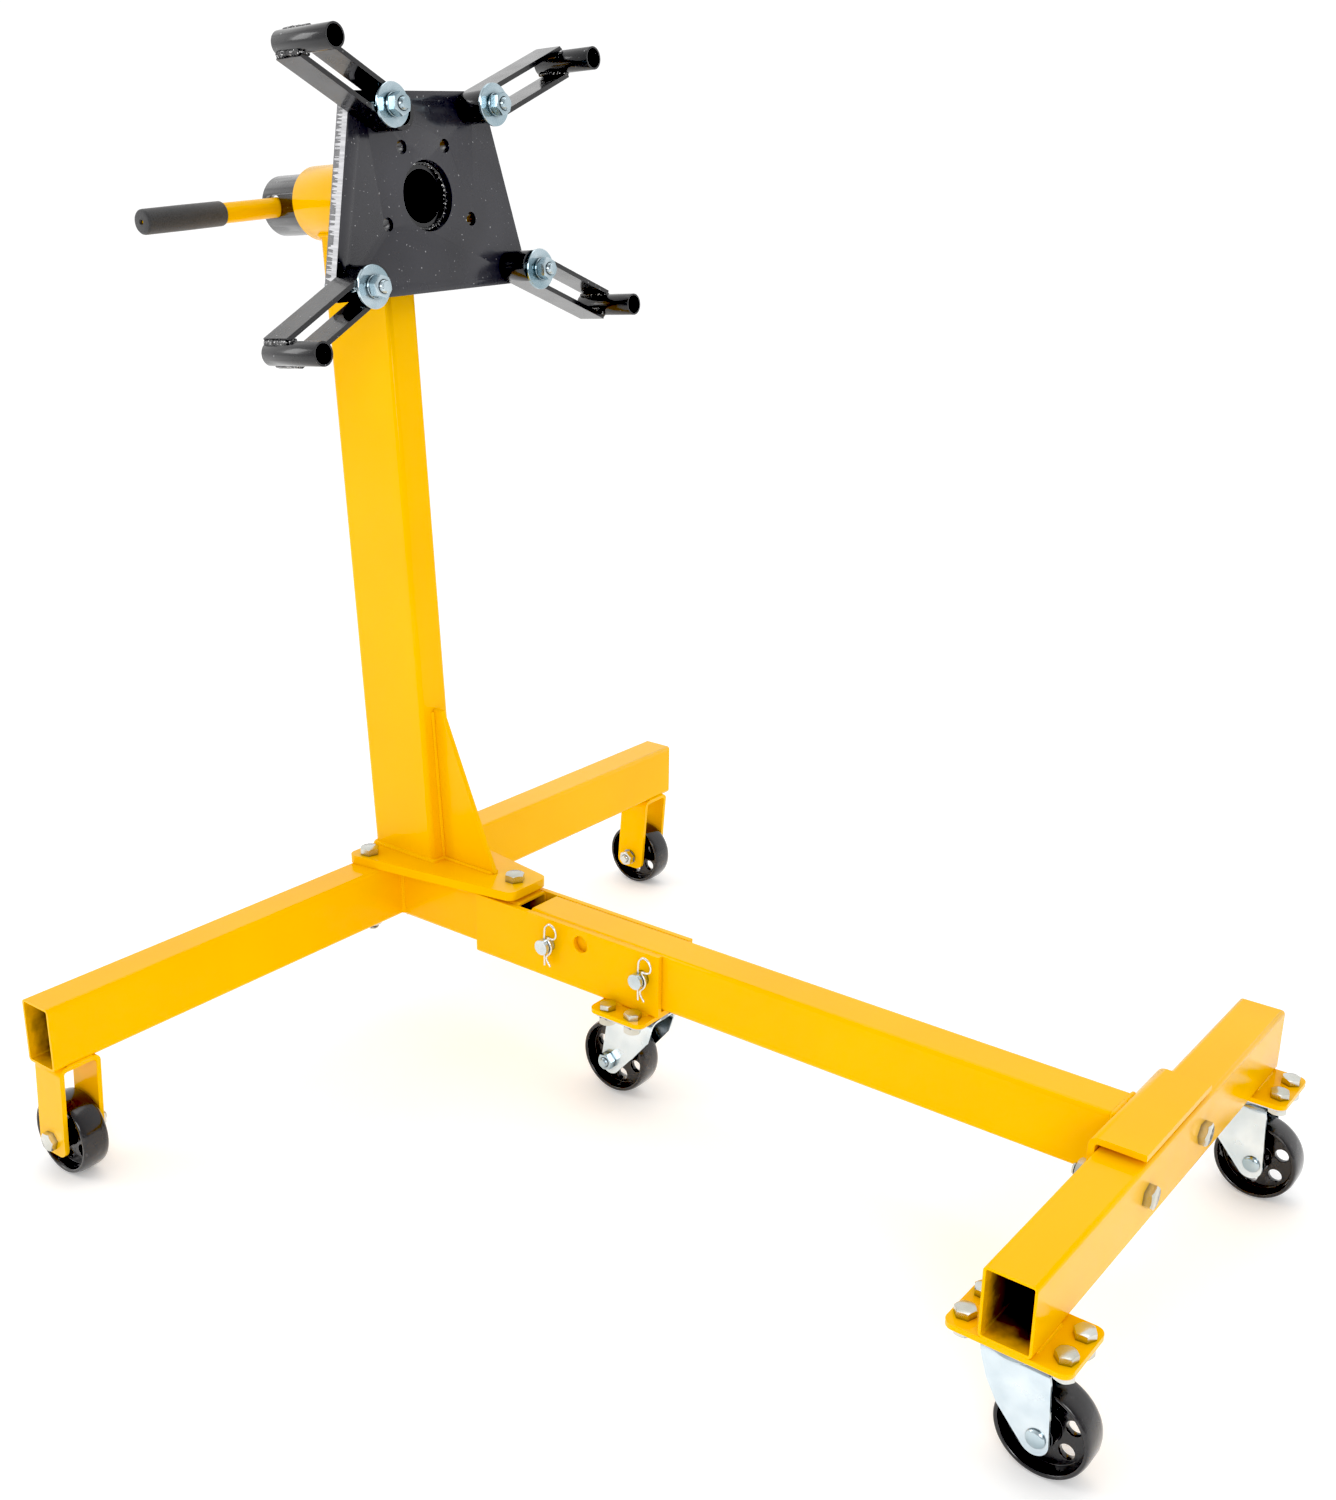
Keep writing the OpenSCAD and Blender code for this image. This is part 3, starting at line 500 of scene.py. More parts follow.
def piece(name, shapes, body, look, replaced=(), sharp=32):
    points, faces = [], []
    for shape_points, shape_faces in shapes:
        start = len(points)
        points += shape_points
        faces += [tuple(start + i for i in face) for face in shape_faces]
    mesh = bpy.data.meshes.new(name)
    mesh.from_pydata([tuple(p) for p in points], [], faces)
    mesh.polygons.foreach_set("use_smooth", [True] * len(mesh.polygons))
    mesh.set_sharp_from_angle(angle=math.radians(sharp))
    mesh.materials.append(look)
    made = bpy.data.objects.new(name, mesh)
    bpy.context.scene.collection.objects.link(made)
    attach(made, body)
    if replaced:
        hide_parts(*replaced)
    return made


def islands(node):
    """The (lowest, highest) corners of each separate solid in a CAD node."""
    mesh = bmesh.new()
    mesh.from_mesh(nodes[node].data)
    bmesh.ops.remove_doubles(mesh, verts=mesh.verts, dist=1e-6)
    left = set(mesh.verts)
    found = []
    while left:
        queue = [left.pop()]
        group = []
        while queue:
            vert = queue.pop()
            group.append(vert.co.copy())
            for edge in vert.link_edges:
                other = edge.other_vert(vert)
                if other in left:
                    left.remove(other)
                    queue.append(other)
        low = Vector([min(p[i] for p in group) for i in range(3)])
        high = Vector([max(p[i] for p in group) for i in range(3)])
        found.append((low, high))
    mesh.free()
    return sorted(found, key=lambda pair: tuple(round(v, 4) for v in pair[0]))


def box(node):
    low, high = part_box(node)
    return Vector(low), Vector(high)


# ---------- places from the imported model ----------

# degrees round the head's axis, as in the part's rest position
HEAD_ROLL = 1.4
# the front face of the head plate, along the head's axis
PLATE_FRONT = 74 * MM
PLATE_THICK = 15 * MM
TUBE_WALL = 2.5 * MM
FORK_WALL = 3 * MM
BAR_DEPTH = 32 * MM
ARM_TUBE = 22 * MM
ARM_REACH = {"top_left": 120 * MM, "top_right": 108 * MM, "low_left": 113 * MM, "low_right": 113 * MM}

head_axis = Vector(joints["head_turn"]["axis"])
head_place = Vector(joints["head_turn"]["pos_m"])
head_side = Vector((0, 1, 0))
head_turn = Matrix((head_axis, head_side, head_axis.cross(head_side))).transposed().to_4x4()
head = Matrix.Translation(head_place) @ head_turn @ Matrix.Rotation(math.radians(HEAD_ROLL), 4, "X")
rod_axis = Vector(joints["handle_slide"]["axis"])

make_camera()

# ---------- looks of the CAD nodes ----------

looks = {
    "yellow_paint": yellow_paint("yellow_paint"),
    "black_paint": black_paint("black_paint"),
    "black_weld": black_paint("black_weld", weld=True),
    "foam_grip": foam_grip(),
    "black_wheel": cast_black(),
    "spring_steel": zinc("spring_steel", (0.76, 0.74, 0.66), (0.84, 0.83, 0.78), 0.20, 900.0, 0.25),
    "zinc_sheet": zinc("zinc_sheet", (0.60, 0.70, 0.76), (0.80, 0.88, 0.92), 0.18, 300.0, 0.9, 0.014),
    "zinc_bolts": zinc("zinc_bolts", (0.52, 0.51, 0.42), (0.70, 0.71, 0.67), 0.16, 500.0, 0.9),
    "zinc_race": zinc("zinc_race", (0.12, 0.15, 0.17), (0.42, 0.50, 0.54), 0.12, 300.0, 0.9, 0.010),
    "zinc_pin": zinc("zinc_pin", (0.50, 0.60, 0.66), (0.72, 0.80, 0.84), 0.14, 500.0, 0.8, 0.005),
    "zinc_blue": zinc("zinc_blue", (0.28, 0.39, 0.44), (0.52, 0.62, 0.67), 0.16, 500.0, 1.0),
}


def tube_look(node, axis):
    low, high = box(node)
    middle = (low + high) / 2
    half = (high - low) / 2
    reach = half[axis]
    half -= Vector((TUBE_WALL, TUBE_WALL, TUBE_WALL))
    return yellow_paint("yellow_" + node, (middle, half, axis, reach))


special = {
    "rear_leg": tube_look("rear_leg", 1),
    "crossbar": tube_look("crossbar", 1),
    "stub_tube": tube_look("stub_tube", 0),
    "front_beam": tube_look("front_beam", 0),
    "head_plate": plate_paint(head, PLATE_FRONT, PLATE_THICK),
    "pivot_pin": looks["zinc_pin"],
    "lock_pin": looks["zinc_pin"],
}

# bevel widths in millimetres
BEVELS = {
    "head_plate": 0.8, "base_plate": 1.2, "hinge_channel": 0.9, "beam_bracket": 0.9, "gusset": 0.8,
    "rear_fork_left": 0.9, "rear_fork_right": 0.9, "front_pad_left": 0.9, "front_pad_right": 0.9,
    "middle_pad": 0.9, "sleeve": 0.7, "head_tube": 0.7, "handle_rod": 1.5, "pivot_pin": 1.4,
    "lock_pin": 1.4, "post": 0.5, "rear_leg": 0.6, "crossbar": 0.6, "stub_tube": 0.6, "front_beam": 0.6,
}
SMALL_BEVEL = 0.5


def soften(node, width):
    made = nodes[node]
    weld = made.modifiers.new("weld", "WELD")
    weld.merge_threshold = 1e-6
    flat = made.modifiers.new("flat", "DECIMATE")
    flat.decimate_type = "DISSOLVE"
    flat.angle_limit = math.radians(0.5)
    bevel = made.modifiers.new("bevel", "BEVEL")
    bevel.width = width * MM
    bevel.segments = 2
    bevel.limit_method = "ANGLE"
    bevel.angle_limit = math.radians(40)
    bevel.use_clamp_overlap = True
    bevel.harden_normals = True


for name, node in nodes.items():
    node.data.materials.clear()
    node.data.materials.append(special.get(name, looks[slot_of[name]]))

# these keep their CAD edges: a piece stands for each of them, apart from lock_pin_core
KEPT_SHARP = {
    "base_bolts", "bracket_bolts", "front_pad_bolts", "middle_pad_bolts", "rear_axle_left",
    "rear_axle_right", "caster_axle_front_left", "caster_axle_front_right", "caster_axle_middle",
    "arm_bolts", "handle_grip", "arm_clamp_top_left", "arm_clamp_top_right", "arm_clamp_low_left",
    "arm_clamp_low_right", "pivot_clip", "lock_clip", "lock_pin_core",
}
for name in nodes:
    if name not in KEPT_SHARP:
        soften(name, BEVELS.get(name, SMALL_BEVEL))

# ---------- bolts and nuts ----------

M12, M12_FLATS, M12_PITCH, M12_HEAD, M12_NUT = 12 * MM, 19 * MM, 1.75 * MM, 8 * MM, 10 * MM
M12_LOW_HEAD = 7.5 * MM
M10, M10_FLATS, M10_PITCH, M10_HEAD, M10_NUT = 10 * MM, 16 * MM, 1.5 * MM, 6.4 * MM, 8 * MM
AXLE_FLATS, AXLE_HEAD, AXLE_NUT, AXLE_WASHER = 17 * MM, 6.5 * MM, 8.5 * MM, 1.6 * MM
# a base bolt longer than this goes right through the rear leg
LONG_BOLT = 50 * MM
# half the caster fork's width at its axle
FORK_HALF = 20.5 * MM
# how far an arm bolt stands out past the bars
ARM_BOLT_END = 20 * MM
# thickness of the arm bolts' two washers
WASHER, SPRING_WASHER = 3 * MM, 2.5 * MM


def bolt(place, direction, diameter, flats, head_height, length, pitch, spin):
    """The shank runs from place along direction, and the head stands on the other side of place."""
    away = -Vector(direction)
    return [
        placed(hexagon(flats, head_height), facing(place, away, spin)),
        placed(stud(diameter, length, pitch, length * 0.45), facing(place, direction)),
    ]


def nut_at(place, direction, diameter, flats, height, spin):
    return placed(hexagon(flats, height, diameter, both=True), facing(place, direction, spin))


def base_bolts():
    shapes = []
    seat = box("base_plate")[1].z
    for k, (low, high) in enumerate(islands("base_bolts")):
        middle = (low + high) / 2
        long_one = high.z - low.z > LONG_BOLT
        under = box("rear_leg")[0].z if long_one else box("stub_tube")[1].z - TUBE_WALL
        top = Vector((middle.x, middle.y, seat))
        shapes += bolt(top, (0, 0, -1), M12, M12_FLATS, M12_HEAD, seat - low.z, M12_PITCH, 12 + 25 * k)
        below = Vector((middle.x, middle.y, under))
        shapes.append(nut_at(below, (0, 0, -1), M12, M12_FLATS, M12_NUT, 40 * k))
    piece("base_bolt_set", shapes, "frame", looks["zinc_bolts"], ["base_bolts"])


def bracket_bolts():
    shapes = []
    seat = box("crossbar")[1].x
    back = box("beam_bracket")[0].x
    for k, (low, high) in enumerate(islands("bracket_bolts")):
        middle = (low + high) / 2
        front = Vector((seat, middle.y, middle.z))
        length = seat - low.x
        shapes += bolt(front, (-1, 0, 0), M12, M12_FLATS, M12_LOW_HEAD, length, M12_PITCH, 20 + 35 * k)
        rear = Vector((back, middle.y, middle.z))
        shapes.append(nut_at(rear, (-1, 0, 0), M12, M12_FLATS, M12_NUT, 15 * k))
    piece("bracket_bolt_set", shapes, "folding_leg", looks["zinc_bolts"], ["bracket_bolts"])


def pad_bolts(node, pad, plate, body):
    shapes = []
    seat = box(pad)[1].z
    under = box(plate)[1].z - FORK_WALL
    for k, (low, high) in enumerate(islands(node)):
        middle = (low + high) / 2
        top = Vector((middle.x, middle.y, seat))
        shapes += bolt(top, (0, 0, -1), M10, M10_FLATS, M10_HEAD, seat - low.z, M10_PITCH, 10 + 47 * k)
        below = Vector((middle.x, middle.y, under))
        shapes.append(nut_at(below, (0, 0, -1), M10, M10_FLATS, M10_NUT, 33 * k))
    piece(node.replace("bolts", "bolt_set"), shapes, body, looks["zinc_bolts"], [node])


def rear_axle(side, sign):
    name = "rear_axle_" + side
    low, high = box(name)
    fork_low, fork_high = box("rear_fork_" + side)
    middle = (low + high) / 2
    outer = fork_high.y if sign > 0 else fork_low.y
    inner = fork_low.y if sign > 0 else fork_high.y
    tip = low.y if sign > 0 else high.y
    seat = Vector((middle.x, outer, middle.z))
    inward = (0, -sign, 0)
    washer = ring_body([(M10 / 2, 0), (M10, 0), (M10, AXLE_WASHER), (M10 / 2, AXLE_WASHER)])
    shapes = bolt(seat, inward, M10, AXLE_FLATS, AXLE_HEAD, abs(tip - outer), M10_PITCH, 8)
    back = Vector((middle.x, inner, middle.z))
    shapes.append(placed(washer, facing(back, inward)))
    back.y -= sign * AXLE_WASHER
    shapes.append(nut_at(back, inward, M10, AXLE_FLATS, AXLE_NUT, 20))
    piece(name + "_bolt", shapes, body_of[name], looks["zinc_bolts"], [name])


def caster_axle(place):
    """A domed rivet head on one side of the fork and a nut on the other."""
    name = "caster_axle_" + place
    low, high = box(name)
    fork_low, fork_high = box("caster_fork_" + place)
    middle_y = (fork_low.y + fork_high.y) / 2
    longer = high.y - middle_y > middle_y - low.y
    nut_way = 1 if longer else -1
    tip = (high.y if longer else low.y) - middle_y
    centre = (low + high) / 2
    start = Vector((centre.x, middle_y - nut_way * FORK_HALF, centre.z))
    dome = lathe([
        (8 * MM, 0), (8 * MM, 1.2 * MM), (7.4 * MM, 2.1 * MM), (6 * MM, 2.8 * MM), (3.5 * MM, 3.3 * MM),
        (0, 3.5 * MM),
    ], 32)
    shapes = [
        placed(dome, facing(start, (0, -nut_way, 0))),
        placed(stud(M10, abs(tip) + FORK_HALF, M10_PITCH, 2 * FORK_HALF), facing(start, (0, nut_way, 0))),
    ]
    end = Vector((centre.x, middle_y + nut_way * FORK_HALF, centre.z))
    shapes.append(nut_at(end, (0, nut_way, 0), M10, M10_FLATS, M10_NUT, 14))
    piece(name + "_bolt", shapes, body_of[name], looks["zinc_blue"], [name])


def arm_bolts():
    shapes = []
    for k, arm in enumerate(ARM_REACH):
        place = Vector(joints["swing_arm_" + arm]["pos_m"])
        rear = place - head_axis * PLATE_THICK
        length = PLATE_THICK + BAR_DEPTH + ARM_BOLT_END
        shapes += bolt(rear, head_axis, M12, M12_FLATS, M12_LOW_HEAD, length, M12_PITCH, 17)
        seat = place + head_axis * BAR_DEPTH
        washer = ring_body([
            (6.4 * MM, 0), (19.6 * MM, 0), (20 * MM, 0.4 * MM), (20 * MM, WASHER - 0.5 * MM),
            (19.5 * MM, WASHER), (6.4 * MM, WASHER),
        ], 64)
        spring = ring_body([
            (6.3 * MM, 0), (10.6 * MM, 0), (10.7 * MM, 0.3 * MM), (10.7 * MM, 2.2 * MM),
            (10.4 * MM, SPRING_WASHER), (6.3 * MM, SPRING_WASHER),
        ])
        nut_seat = seat + head_axis * (WASHER + SPRING_WASHER)
        parts = [
            placed(washer, facing(seat, head_axis)),
            placed(spring, facing(seat + head_axis * WASHER, head_axis)),
            nut_at(nut_seat, head_axis, M12, M12_FLATS, M12_NUT, 17 + 9 * k),
        ]
        clamp = "arm_clamp_" + arm
        piece("clamp_nut_" + arm, parts, "clamp_" + arm, looks["zinc_blue"], [clamp])
    piece("arm_bolt_set", shapes, "head", looks["zinc_blue"], ["arm_bolts"])


# ---------- spring clips ----------


def curve_through(corners, per_span=10):
    """A smooth path through corner points (Catmull-Rom)."""
    ends = [corners[0]] + corners + [corners[-1]]
    out = []
    for k in range(1, len(ends) - 2):
        a, b, c, d = ends[k - 1:k + 3]
        for i in range(per_span):
            t = i / per_span
            out.append(0.5 * (
                2 * b + (c - a) * t + (2 * a - 5 * b + 4 * c - d) * t * t + (3 * b - a - 3 * c + d) * t ** 3
            ))
    return out + [corners[-1]]


WIRE_R = 1.15 * MM
WIRE_LIFT = 0.9 * MM
# x and z are millimetres from the pin, and y counts lifts off the clip's plane:
# a straight leg through the pin, a loop above, then a bow round the pin and a flared tail
CLIP_PATH = [
    (0, 0, -22), (0, 0, -10), (0, 0, 6), (0.2, 0, 15), (1.6, 0.3, 22), (6.5, 0.5, 26.3),
    (12.5, 0.5, 24.6), (16.0, 0.4, 19.0), (15.2, 0.3, 13.6), (11.5, 0.6, 10.9), (6.2, 1.0, 10.8),
    (5.9, 1.0, 8.2), (9.0, 0.8, 3.2), (9.6, 0.6, -1.5), (7.3, 0.6, -6.6), (4.0, 0.8, -10.2),
    (3.2, 0.9, -13.0), (5.2, 0.6, -17.5), (8, 0.2, -21.6),
]


def clip(node, pin):
    low, high = box(node)
    pin_low, pin_high = box(pin)
    origin = Vector(((pin_low.x + pin_high.x) / 2, (low.y + high.y) / 2, (pin_low.z + pin_high.z) / 2))
    path = curve_through([origin + Vector((x * MM, -y * WIRE_LIFT, z * MM)) for x, y, z in CLIP_PATH])
    shape = sweep(path, [WIRE_R] * len(path), 12)
    piece(node + "_wire", [shape], body_of[node], looks["spring_steel"], [node])


# ---------- grip ----------


def grip():
    """Foam sleeve. Its place comes from the CAD grip, measured along the rod."""
    points = [vertex.co for vertex in nodes["handle_grip"].data.vertices]
    along = [point.dot(rod_axis) for point in points]
    start = min(along)
    length = max(along) - start
    side = [point - rod_axis * point.dot(rod_axis) for point in points]
    centre = sum(side, Vector()) / len(side)
    r = 12 * MM
    profile = [
        (2.5 * MM, 3 * MM), (2.5 * MM, 0.5 * MM), (3.0 * MM, 0.0), (r - 3 * MM, 0.0),
        (r - 1.3 * MM, 0.5 * MM), (r - 0.3 * MM, 1.7 * MM), (r, 3.2 * MM), (r + 0.15 * MM, length * 0.5),
        (r, length - 2.0 * MM), (r - 0.5 * MM, length - 0.8 * MM), (r - 1.5 * MM, length),
        (10.1 * MM, length), (10.1 * MM, 3 * MM),
    ]
    shape = placed(ring_body(profile, 56), facing(centre + rod_axis * start, rod_axis))
    piece("foam_sleeve", [shape], "handle", looks["foam_grip"], ["handle_grip"])


# ---------- welds ----------

# radii of the beads
ARM_BEAD, ARM_INNER_BEAD = 3.1 * MM, 1.8 * MM
FOOT_BEAD = 3.0 * MM
BRACKET_BEAD = 2.6 * MM
SIDE_BEAD = 2.4 * MM
GUSSET_BEAD = 2.3 * MM
PAD_BEAD = 2.2 * MM
FORK_END_BEAD, FORK_SIDE_BEAD = 2.0 * MM, 1.0 * MM
BASE_BEAD = 1.6 * MM
# the gusset's beads run this far from its middle plane
GUSSET_HALF = 4.2 * MM
# half the length of a bead along the base plate, and the length of one on the middle pad
BASE_WELD_HALF = 50 * MM
PAD_WELD = 17 * MM
# where a front pad's bead starts and ends, from the crossbar's end
FRONT_PAD_WELD = (10 * MM, 52 * MM)
# the saddle bead's radius round the head's axis, and the post's points that are near it
SLEEVE_WELD_R = 36.5 * MM
SLEEVE_POST_LOW = -45 * MM
# the ring beads' radii, and how far they lie behind the plate's front face and its back face
RING_WELD_R, RING_WELD_SINK = 31.2 * MM, 8.4 * MM
BACK_WELD_R, BACK_WELD_SINK = 31.0 * MM, 0.6 * MM


def loop(low, high, z):
    return [(low.x, low.y, z), (high.x, low.y, z), (high.x, high.y, z), (low.x, high.y, z)]


def upright(x, y, low, high, radius, seed):
    return bead([(x, y, low), (x, y, high)], radius, seed)


def along_x(start, end, y, z, radius, seed):
    return bead([(start, y, z), (end, y, z)], radius, seed)


def along_y(x, start, end, z, radius, seed):
    return bead([(x, start, z), (x, end, z)], radius, seed)


def yellow_welds(name, shapes, body="frame"):
    piece(name, shapes, body, looks["yellow_paint"])


def post_foot_welds():
    z = box("base_plate")[1].z
    post_low, post_high = box("post")
    gusset_low, gusset_high = box("gusset")
    foot = [vertex.co.x for vertex in nodes["post"].data.vertices if vertex.co.z < z + 2 * MM]
    front = max(foot)
    low = Vector((min(foot), post_low.y, z))
    high = Vector((front, post_high.y, z))
    shapes = [bead(loop(low, high, z + 0.5 * MM), FOOT_BEAD, 1, closed=True)]
    for side in (-1, 1):
        y = side * GUSSET_HALF
        shapes.append(along_x(front, gusset_high.x - 2 * MM, y, z + 0.8 * MM, GUSSET_BEAD, 2 + side))
        top = (gusset_low.x + 0.6 * MM, y, gusset_high.z - 2 * MM)
        shapes.append(bead([(front + 0.5 * MM, y, z), top], GUSSET_BEAD, 5 + side))
    yellow_welds("post_foot_welds", shapes)


def stub_welds():
    x = box("rear_leg")[1].x
    low, high = box("stub_tube")
    channel_low, channel_high = box("hinge_channel")
    shapes = []
    for side in (-1, 1):
        y = side * (high.y - low.y) / 2
        shapes.append(upright(x, y, low.z + 2 * MM, high.z - 2 * MM, BRACKET_BEAD, 11 + side))
        top = channel_high.z - 2 * MM
        shapes.append(upright(channel_low.x, y, low.z - 1 * MM, top, SIDE_BEAD, 14 + side))
    start, end = low.y + 4 * MM, high.y - 4 * MM
    shapes.append(along_y(x, start, end, low.z, SIDE_BEAD, 17))
    shapes.append(along_y(channel_low.x, start, end, low.z - 1 * MM, PAD_BEAD, 18))
    yellow_welds("stub_welds", shapes)


def base_plate_welds():
    low, high = box("rear_leg")
    shapes = []
    for x, seed in ((low.x, 21), (high.x, 22)):
        shapes.append(along_y(x, -BASE_WELD_HALF, BASE_WELD_HALF, high.z, BASE_BEAD, seed))
    yellow_welds("base_plate_welds", shapes)


def middle_pad_welds():
    pad_low, pad_high = box("middle_pad")
    channel_low, channel_high = box("hinge_channel")
    start, end = pad_low.x + 8 * MM, min(pad_high.x, channel_high.x) - 8 * MM
    shapes = []
    for side, wall in ((-1, channel_low.y), (1, channel_high.y)):
        y = wall - side * 1.2 * MM
        shapes.append(along_x(start, start + PAD_WELD, y, pad_high.z, PAD_BEAD, 31 + side))
        shapes.append(along_x(end - PAD_WELD, end, y, pad_high.z, PAD_BEAD, 34 + side))
    yellow_welds("middle_pad_welds", shapes)


def rear_fork_welds(side):
    leg_low, leg_high = box("rear_leg")
    low, high = box("rear_fork_" + side)
    shapes = []
    for y in (low.y + 7 * MM, high.y - 7 * MM):
        shapes.append(along_x(leg_high.x - 5 * MM, leg_low.x + 5 * MM, y, high.z, FORK_SIDE_BEAD, 41))
    for x in (leg_low.x + 0.5 * MM, leg_high.x - 0.5 * MM):
        shapes.append(along_y(x, low.y + 8 * MM, high.y - 8 * MM, high.z, FORK_END_BEAD, 43))
    yellow_welds("rear_fork_welds_" + side, shapes)


def sleeve_weld():
    """The saddle where the post meets the round sleeve."""
    low, high = box("post")
    half = (high.y - low.y) / 2
    back = head.inverted()
    in_head = [back @ vertex.co for vertex in nodes["post"].data.vertices]
    tops = [point.x for point in in_head if point.z > SLEEVE_POST_LOW]
    steps = 12
    path = []
    for x, start, end in ((max(tops), -1, 1), (min(tops), 1, -1)):
        for k in range(steps + 1):
            y = half * (start + (end - start) * k / steps)
            path.append(head @ Vector((x, y, -math.sqrt(SLEEVE_WELD_R ** 2 - y * y))))
    yellow_welds("sleeve_weld", [bead(path, SIDE_BEAD, 51, closed=True)])


def bracket_weld():
    x = box("beam_bracket")[0].x
    low, high = box("front_beam")
    top = high.z - 1 * MM
    path = [(x, low.y, low.z), (x, high.y, low.z), (x, high.y, top), (x, low.y, top)]
    yellow_welds("bracket_weld", [bead(path, BRACKET_BEAD, 61, closed=True)], "folding_leg")


def front_pad_welds(side):
    low, high = box("crossbar")
    z = box("front_pad_" + side)[1].z
    end = high.y if side == "left" else low.y
    way = -1 if side == "left" else 1
    near, far = FRONT_PAD_WELD
    shapes = []
    for x in (low.x + 1.0 * MM, high.x - 1.0 * MM):
        shapes.append(along_y(x, end + way * near, end + way * far, z, PAD_BEAD, 63))
    yellow_welds("front_pad_welds_" + side, shapes, "folding_leg")


def plate_weld(name, along, ring_r, radius, seed):
    """The bead where the head tube meets the plate, on one of its sides."""
    steps = 72
    path = []
    for k in range(steps):
        angle = 2 * math.pi * k / steps
        path.append(head @ Vector((along, ring_r * math.cos(angle), ring_r * math.sin(angle))))
    piece(name, [bead(path, radius, seed, closed=True)], "head", looks["black_weld"])


def arm_welds(arm):
    """Chunky beads where the arm's tube meets the ends of its two bars."""
    place = Vector(joints["swing_arm_" + arm]["pos_m"])
    along = Vector(joints["slide_arm_" + arm]["axis"])
    across = head_axis.cross(along).normalized()
    middle = place + along * ARM_REACH[arm]
    deep = head_axis * BAR_DEPTH
    skin = ARM_TUBE / 2
    shapes = []
    for k, side in enumerate((-1, 1)):
        out = across * side
        edge = middle + out * (skin + 0.2 * MM) + along * 0.6 * MM
        inset = head_axis * 0.5 * MM
        shapes.append(bead([edge + inset, edge + deep - inset], ARM_BEAD, 80 + k))
        corner = middle + out * (skin - 1.8 * MM) - along * 6.2 * MM
        over = head_axis * 0.4 * MM
        shapes.append(bead([corner + deep, edge + deep + over], PAD_BEAD, 84 + k))
        inner = middle + out * (skin - 3.2 * MM) - along * 9.0 * MM
        inset = head_axis * 1 * MM
        shapes.append(bead([inner + inset, inner + deep - inset], ARM_INNER_BEAD, 88 + k))
    piece("arm_welds_" + arm, shapes, "arm_" + arm, looks["black_weld"])


def race(place):
    """The rolled edge of the caster's ball race, round the swivel."""
    joint = Vector(joints["swivel_" + place]["pos_m"])
    top = box("caster_fork_" + place)[1].z
    profile = [
        (22.9 * MM, -6.0 * MM), (25.0 * MM, -6.2 * MM), (26.2 * MM, -5.0 * MM), (26.6 * MM, -3.0 * MM),
        (26.3 * MM, -1.2 * MM), (25.3 * MM, 0.0), (24.0 * MM, 0.2 * MM), (22.9 * MM, -0.6 * MM),
    ]
    shape = placed(ring_body(profile, 56), Matrix.Translation((joint.x, joint.y, top)))
    piece("race_" + place, [shape], body_of["caster_fork_" + place], looks["zinc_race"])


base_bolts()
bracket_bolts()
pad_bolts("front_pad_bolts", "front_pad_left", "caster_plate_front_left", "folding_leg")
pad_bolts("middle_pad_bolts", "middle_pad", "caster_plate_middle", "frame")
rear_axle("left", 1)
rear_axle("right", -1)
for place in ("front_left", "front_right", "middle"):
    caster_axle(place)
    race(place)
arm_bolts()
clip("pivot_clip", "pivot_pin")
clip("lock_clip", "lock_pin")
grip()
post_foot_welds()
stub_welds()
base_plate_welds()
middle_pad_welds()
rear_fork_welds("left")
rear_fork_welds("right")
sleeve_weld()
bracket_weld()
front_pad_welds("left")
front_pad_welds("right")
plate_weld("plate_weld_front", PLATE_FRONT - RING_WELD_SINK, RING_WELD_R, GUSSET_BEAD, 71)
plate_weld("plate_weld_back", PLATE_FRONT - PLATE_THICK - BACK_WELD_SINK, BACK_WELD_R, PAD_BEAD, 72)
for arm in ARM_REACH:
    arm_welds(arm)

# ---------- stage ----------

# the studio is darker behind and beside the camera
DARK_SIDE = (0.62, -0.72, 0.32)
FLOOR_HALF = 12.0


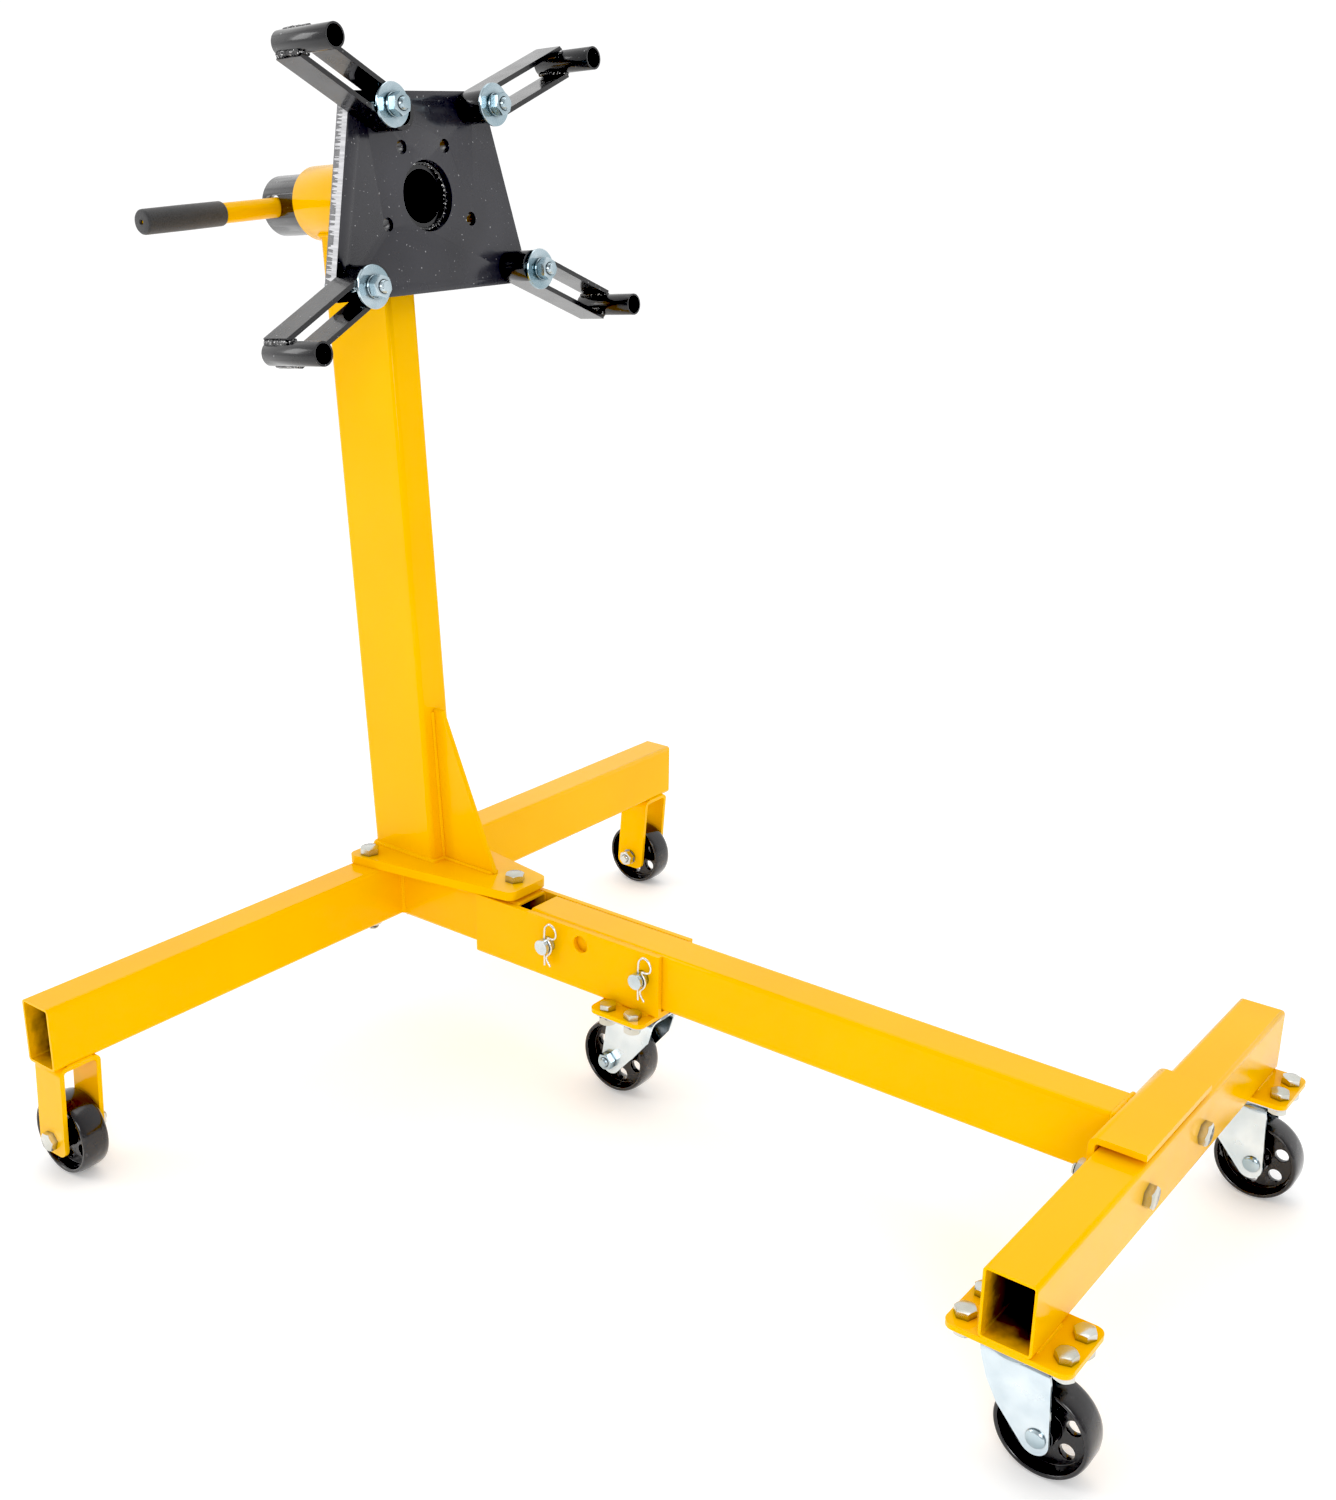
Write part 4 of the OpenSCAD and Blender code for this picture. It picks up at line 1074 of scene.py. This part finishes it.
def area_light(name, place, target, width, height, power):
    data = bpy.data.lights.new(name, "AREA")
    data.shape = "RECTANGLE"
    data.size, data.size_y = width, height
    data.energy = power
    light = bpy.data.objects.new(name, data)
    bpy.context.scene.collection.objects.link(light)
    light.location = place
    light.rotation_euler = (Vector(target) - Vector(place)).to_track_quat("-Z", "Y").to_euler()


def stage():
    mesh = bpy.data.meshes.new("floor")
    corners = [(x * FLOOR_HALF, y * FLOOR_HALF, 0) for x, y in ((-1, -1), (1, -1), (1, 1), (-1, 1))]
    mesh.from_pydata(corners, [], [(0, 1, 2, 3)])
    floor = bpy.data.objects.new("floor", mesh)
    bpy.context.scene.collection.objects.link(floor)
    n = Nodes("floor")
    colour = n.mix(n.noise(3.0), (0.97, 0.97, 0.97), (0.985, 0.985, 0.985))
    white = (1.0, 1.0, 1.0)
    look = n.finish(Base_Color=colour, Roughness=0.7, Emission_Color=white, Emission_Strength=0.15)
    mesh.materials.append(look)
    world = bpy.data.worlds.new("world")
    bpy.context.scene.world = world
    world.use_nodes = True
    tree = world.node_tree
    background = tree.nodes["Background"]
    way = tree.nodes.new("ShaderNodeTexCoord")
    toward = tree.nodes.new("ShaderNodeVectorMath")
    toward.operation = "DOT_PRODUCT"
    toward.inputs[1].default_value = DARK_SIDE
    tree.links.new(way.outputs["Generated"], toward.inputs[0])
    fade = tree.nodes.new("ShaderNodeMapRange")
    fade.interpolation_type = "SMOOTHSTEP"
    for key, number in (("From Min", 0.05), ("From Max", 0.85), ("To Min", 1.06), ("To Max", 0.60)):
        fade.inputs[key].default_value = number
    tree.links.new(toward.outputs["Value"], fade.inputs["Value"])
    background.inputs[0].default_value = (1.0, 1.0, 1.0, 1)
    tree.links.new(fade.outputs["Result"], background.inputs[1])
    area_light("key", (2.6, -2.8, 2.0), (0, 0, 0.4), 1.6, 1.6, 50)
    area_light("top", (-0.2, 0.3, 3.6), (0, 0, 0.3), 2.6, 1.6, 14)
    area_light("side", (-2.8, -2.2, 1.8), (-0.2, 0, 0.4), 1.0, 1.8, 16)
    scene = bpy.context.scene
    scene.view_settings.view_transform = "Standard"
    scene.view_settings.exposure = 0.0
    scene.view_settings.use_curve_mapping = True
    scene.view_settings.curve_mapping.black_level = (0.03, 0.03, 0.03)
    scene.view_settings.curve_mapping.update()


stage()
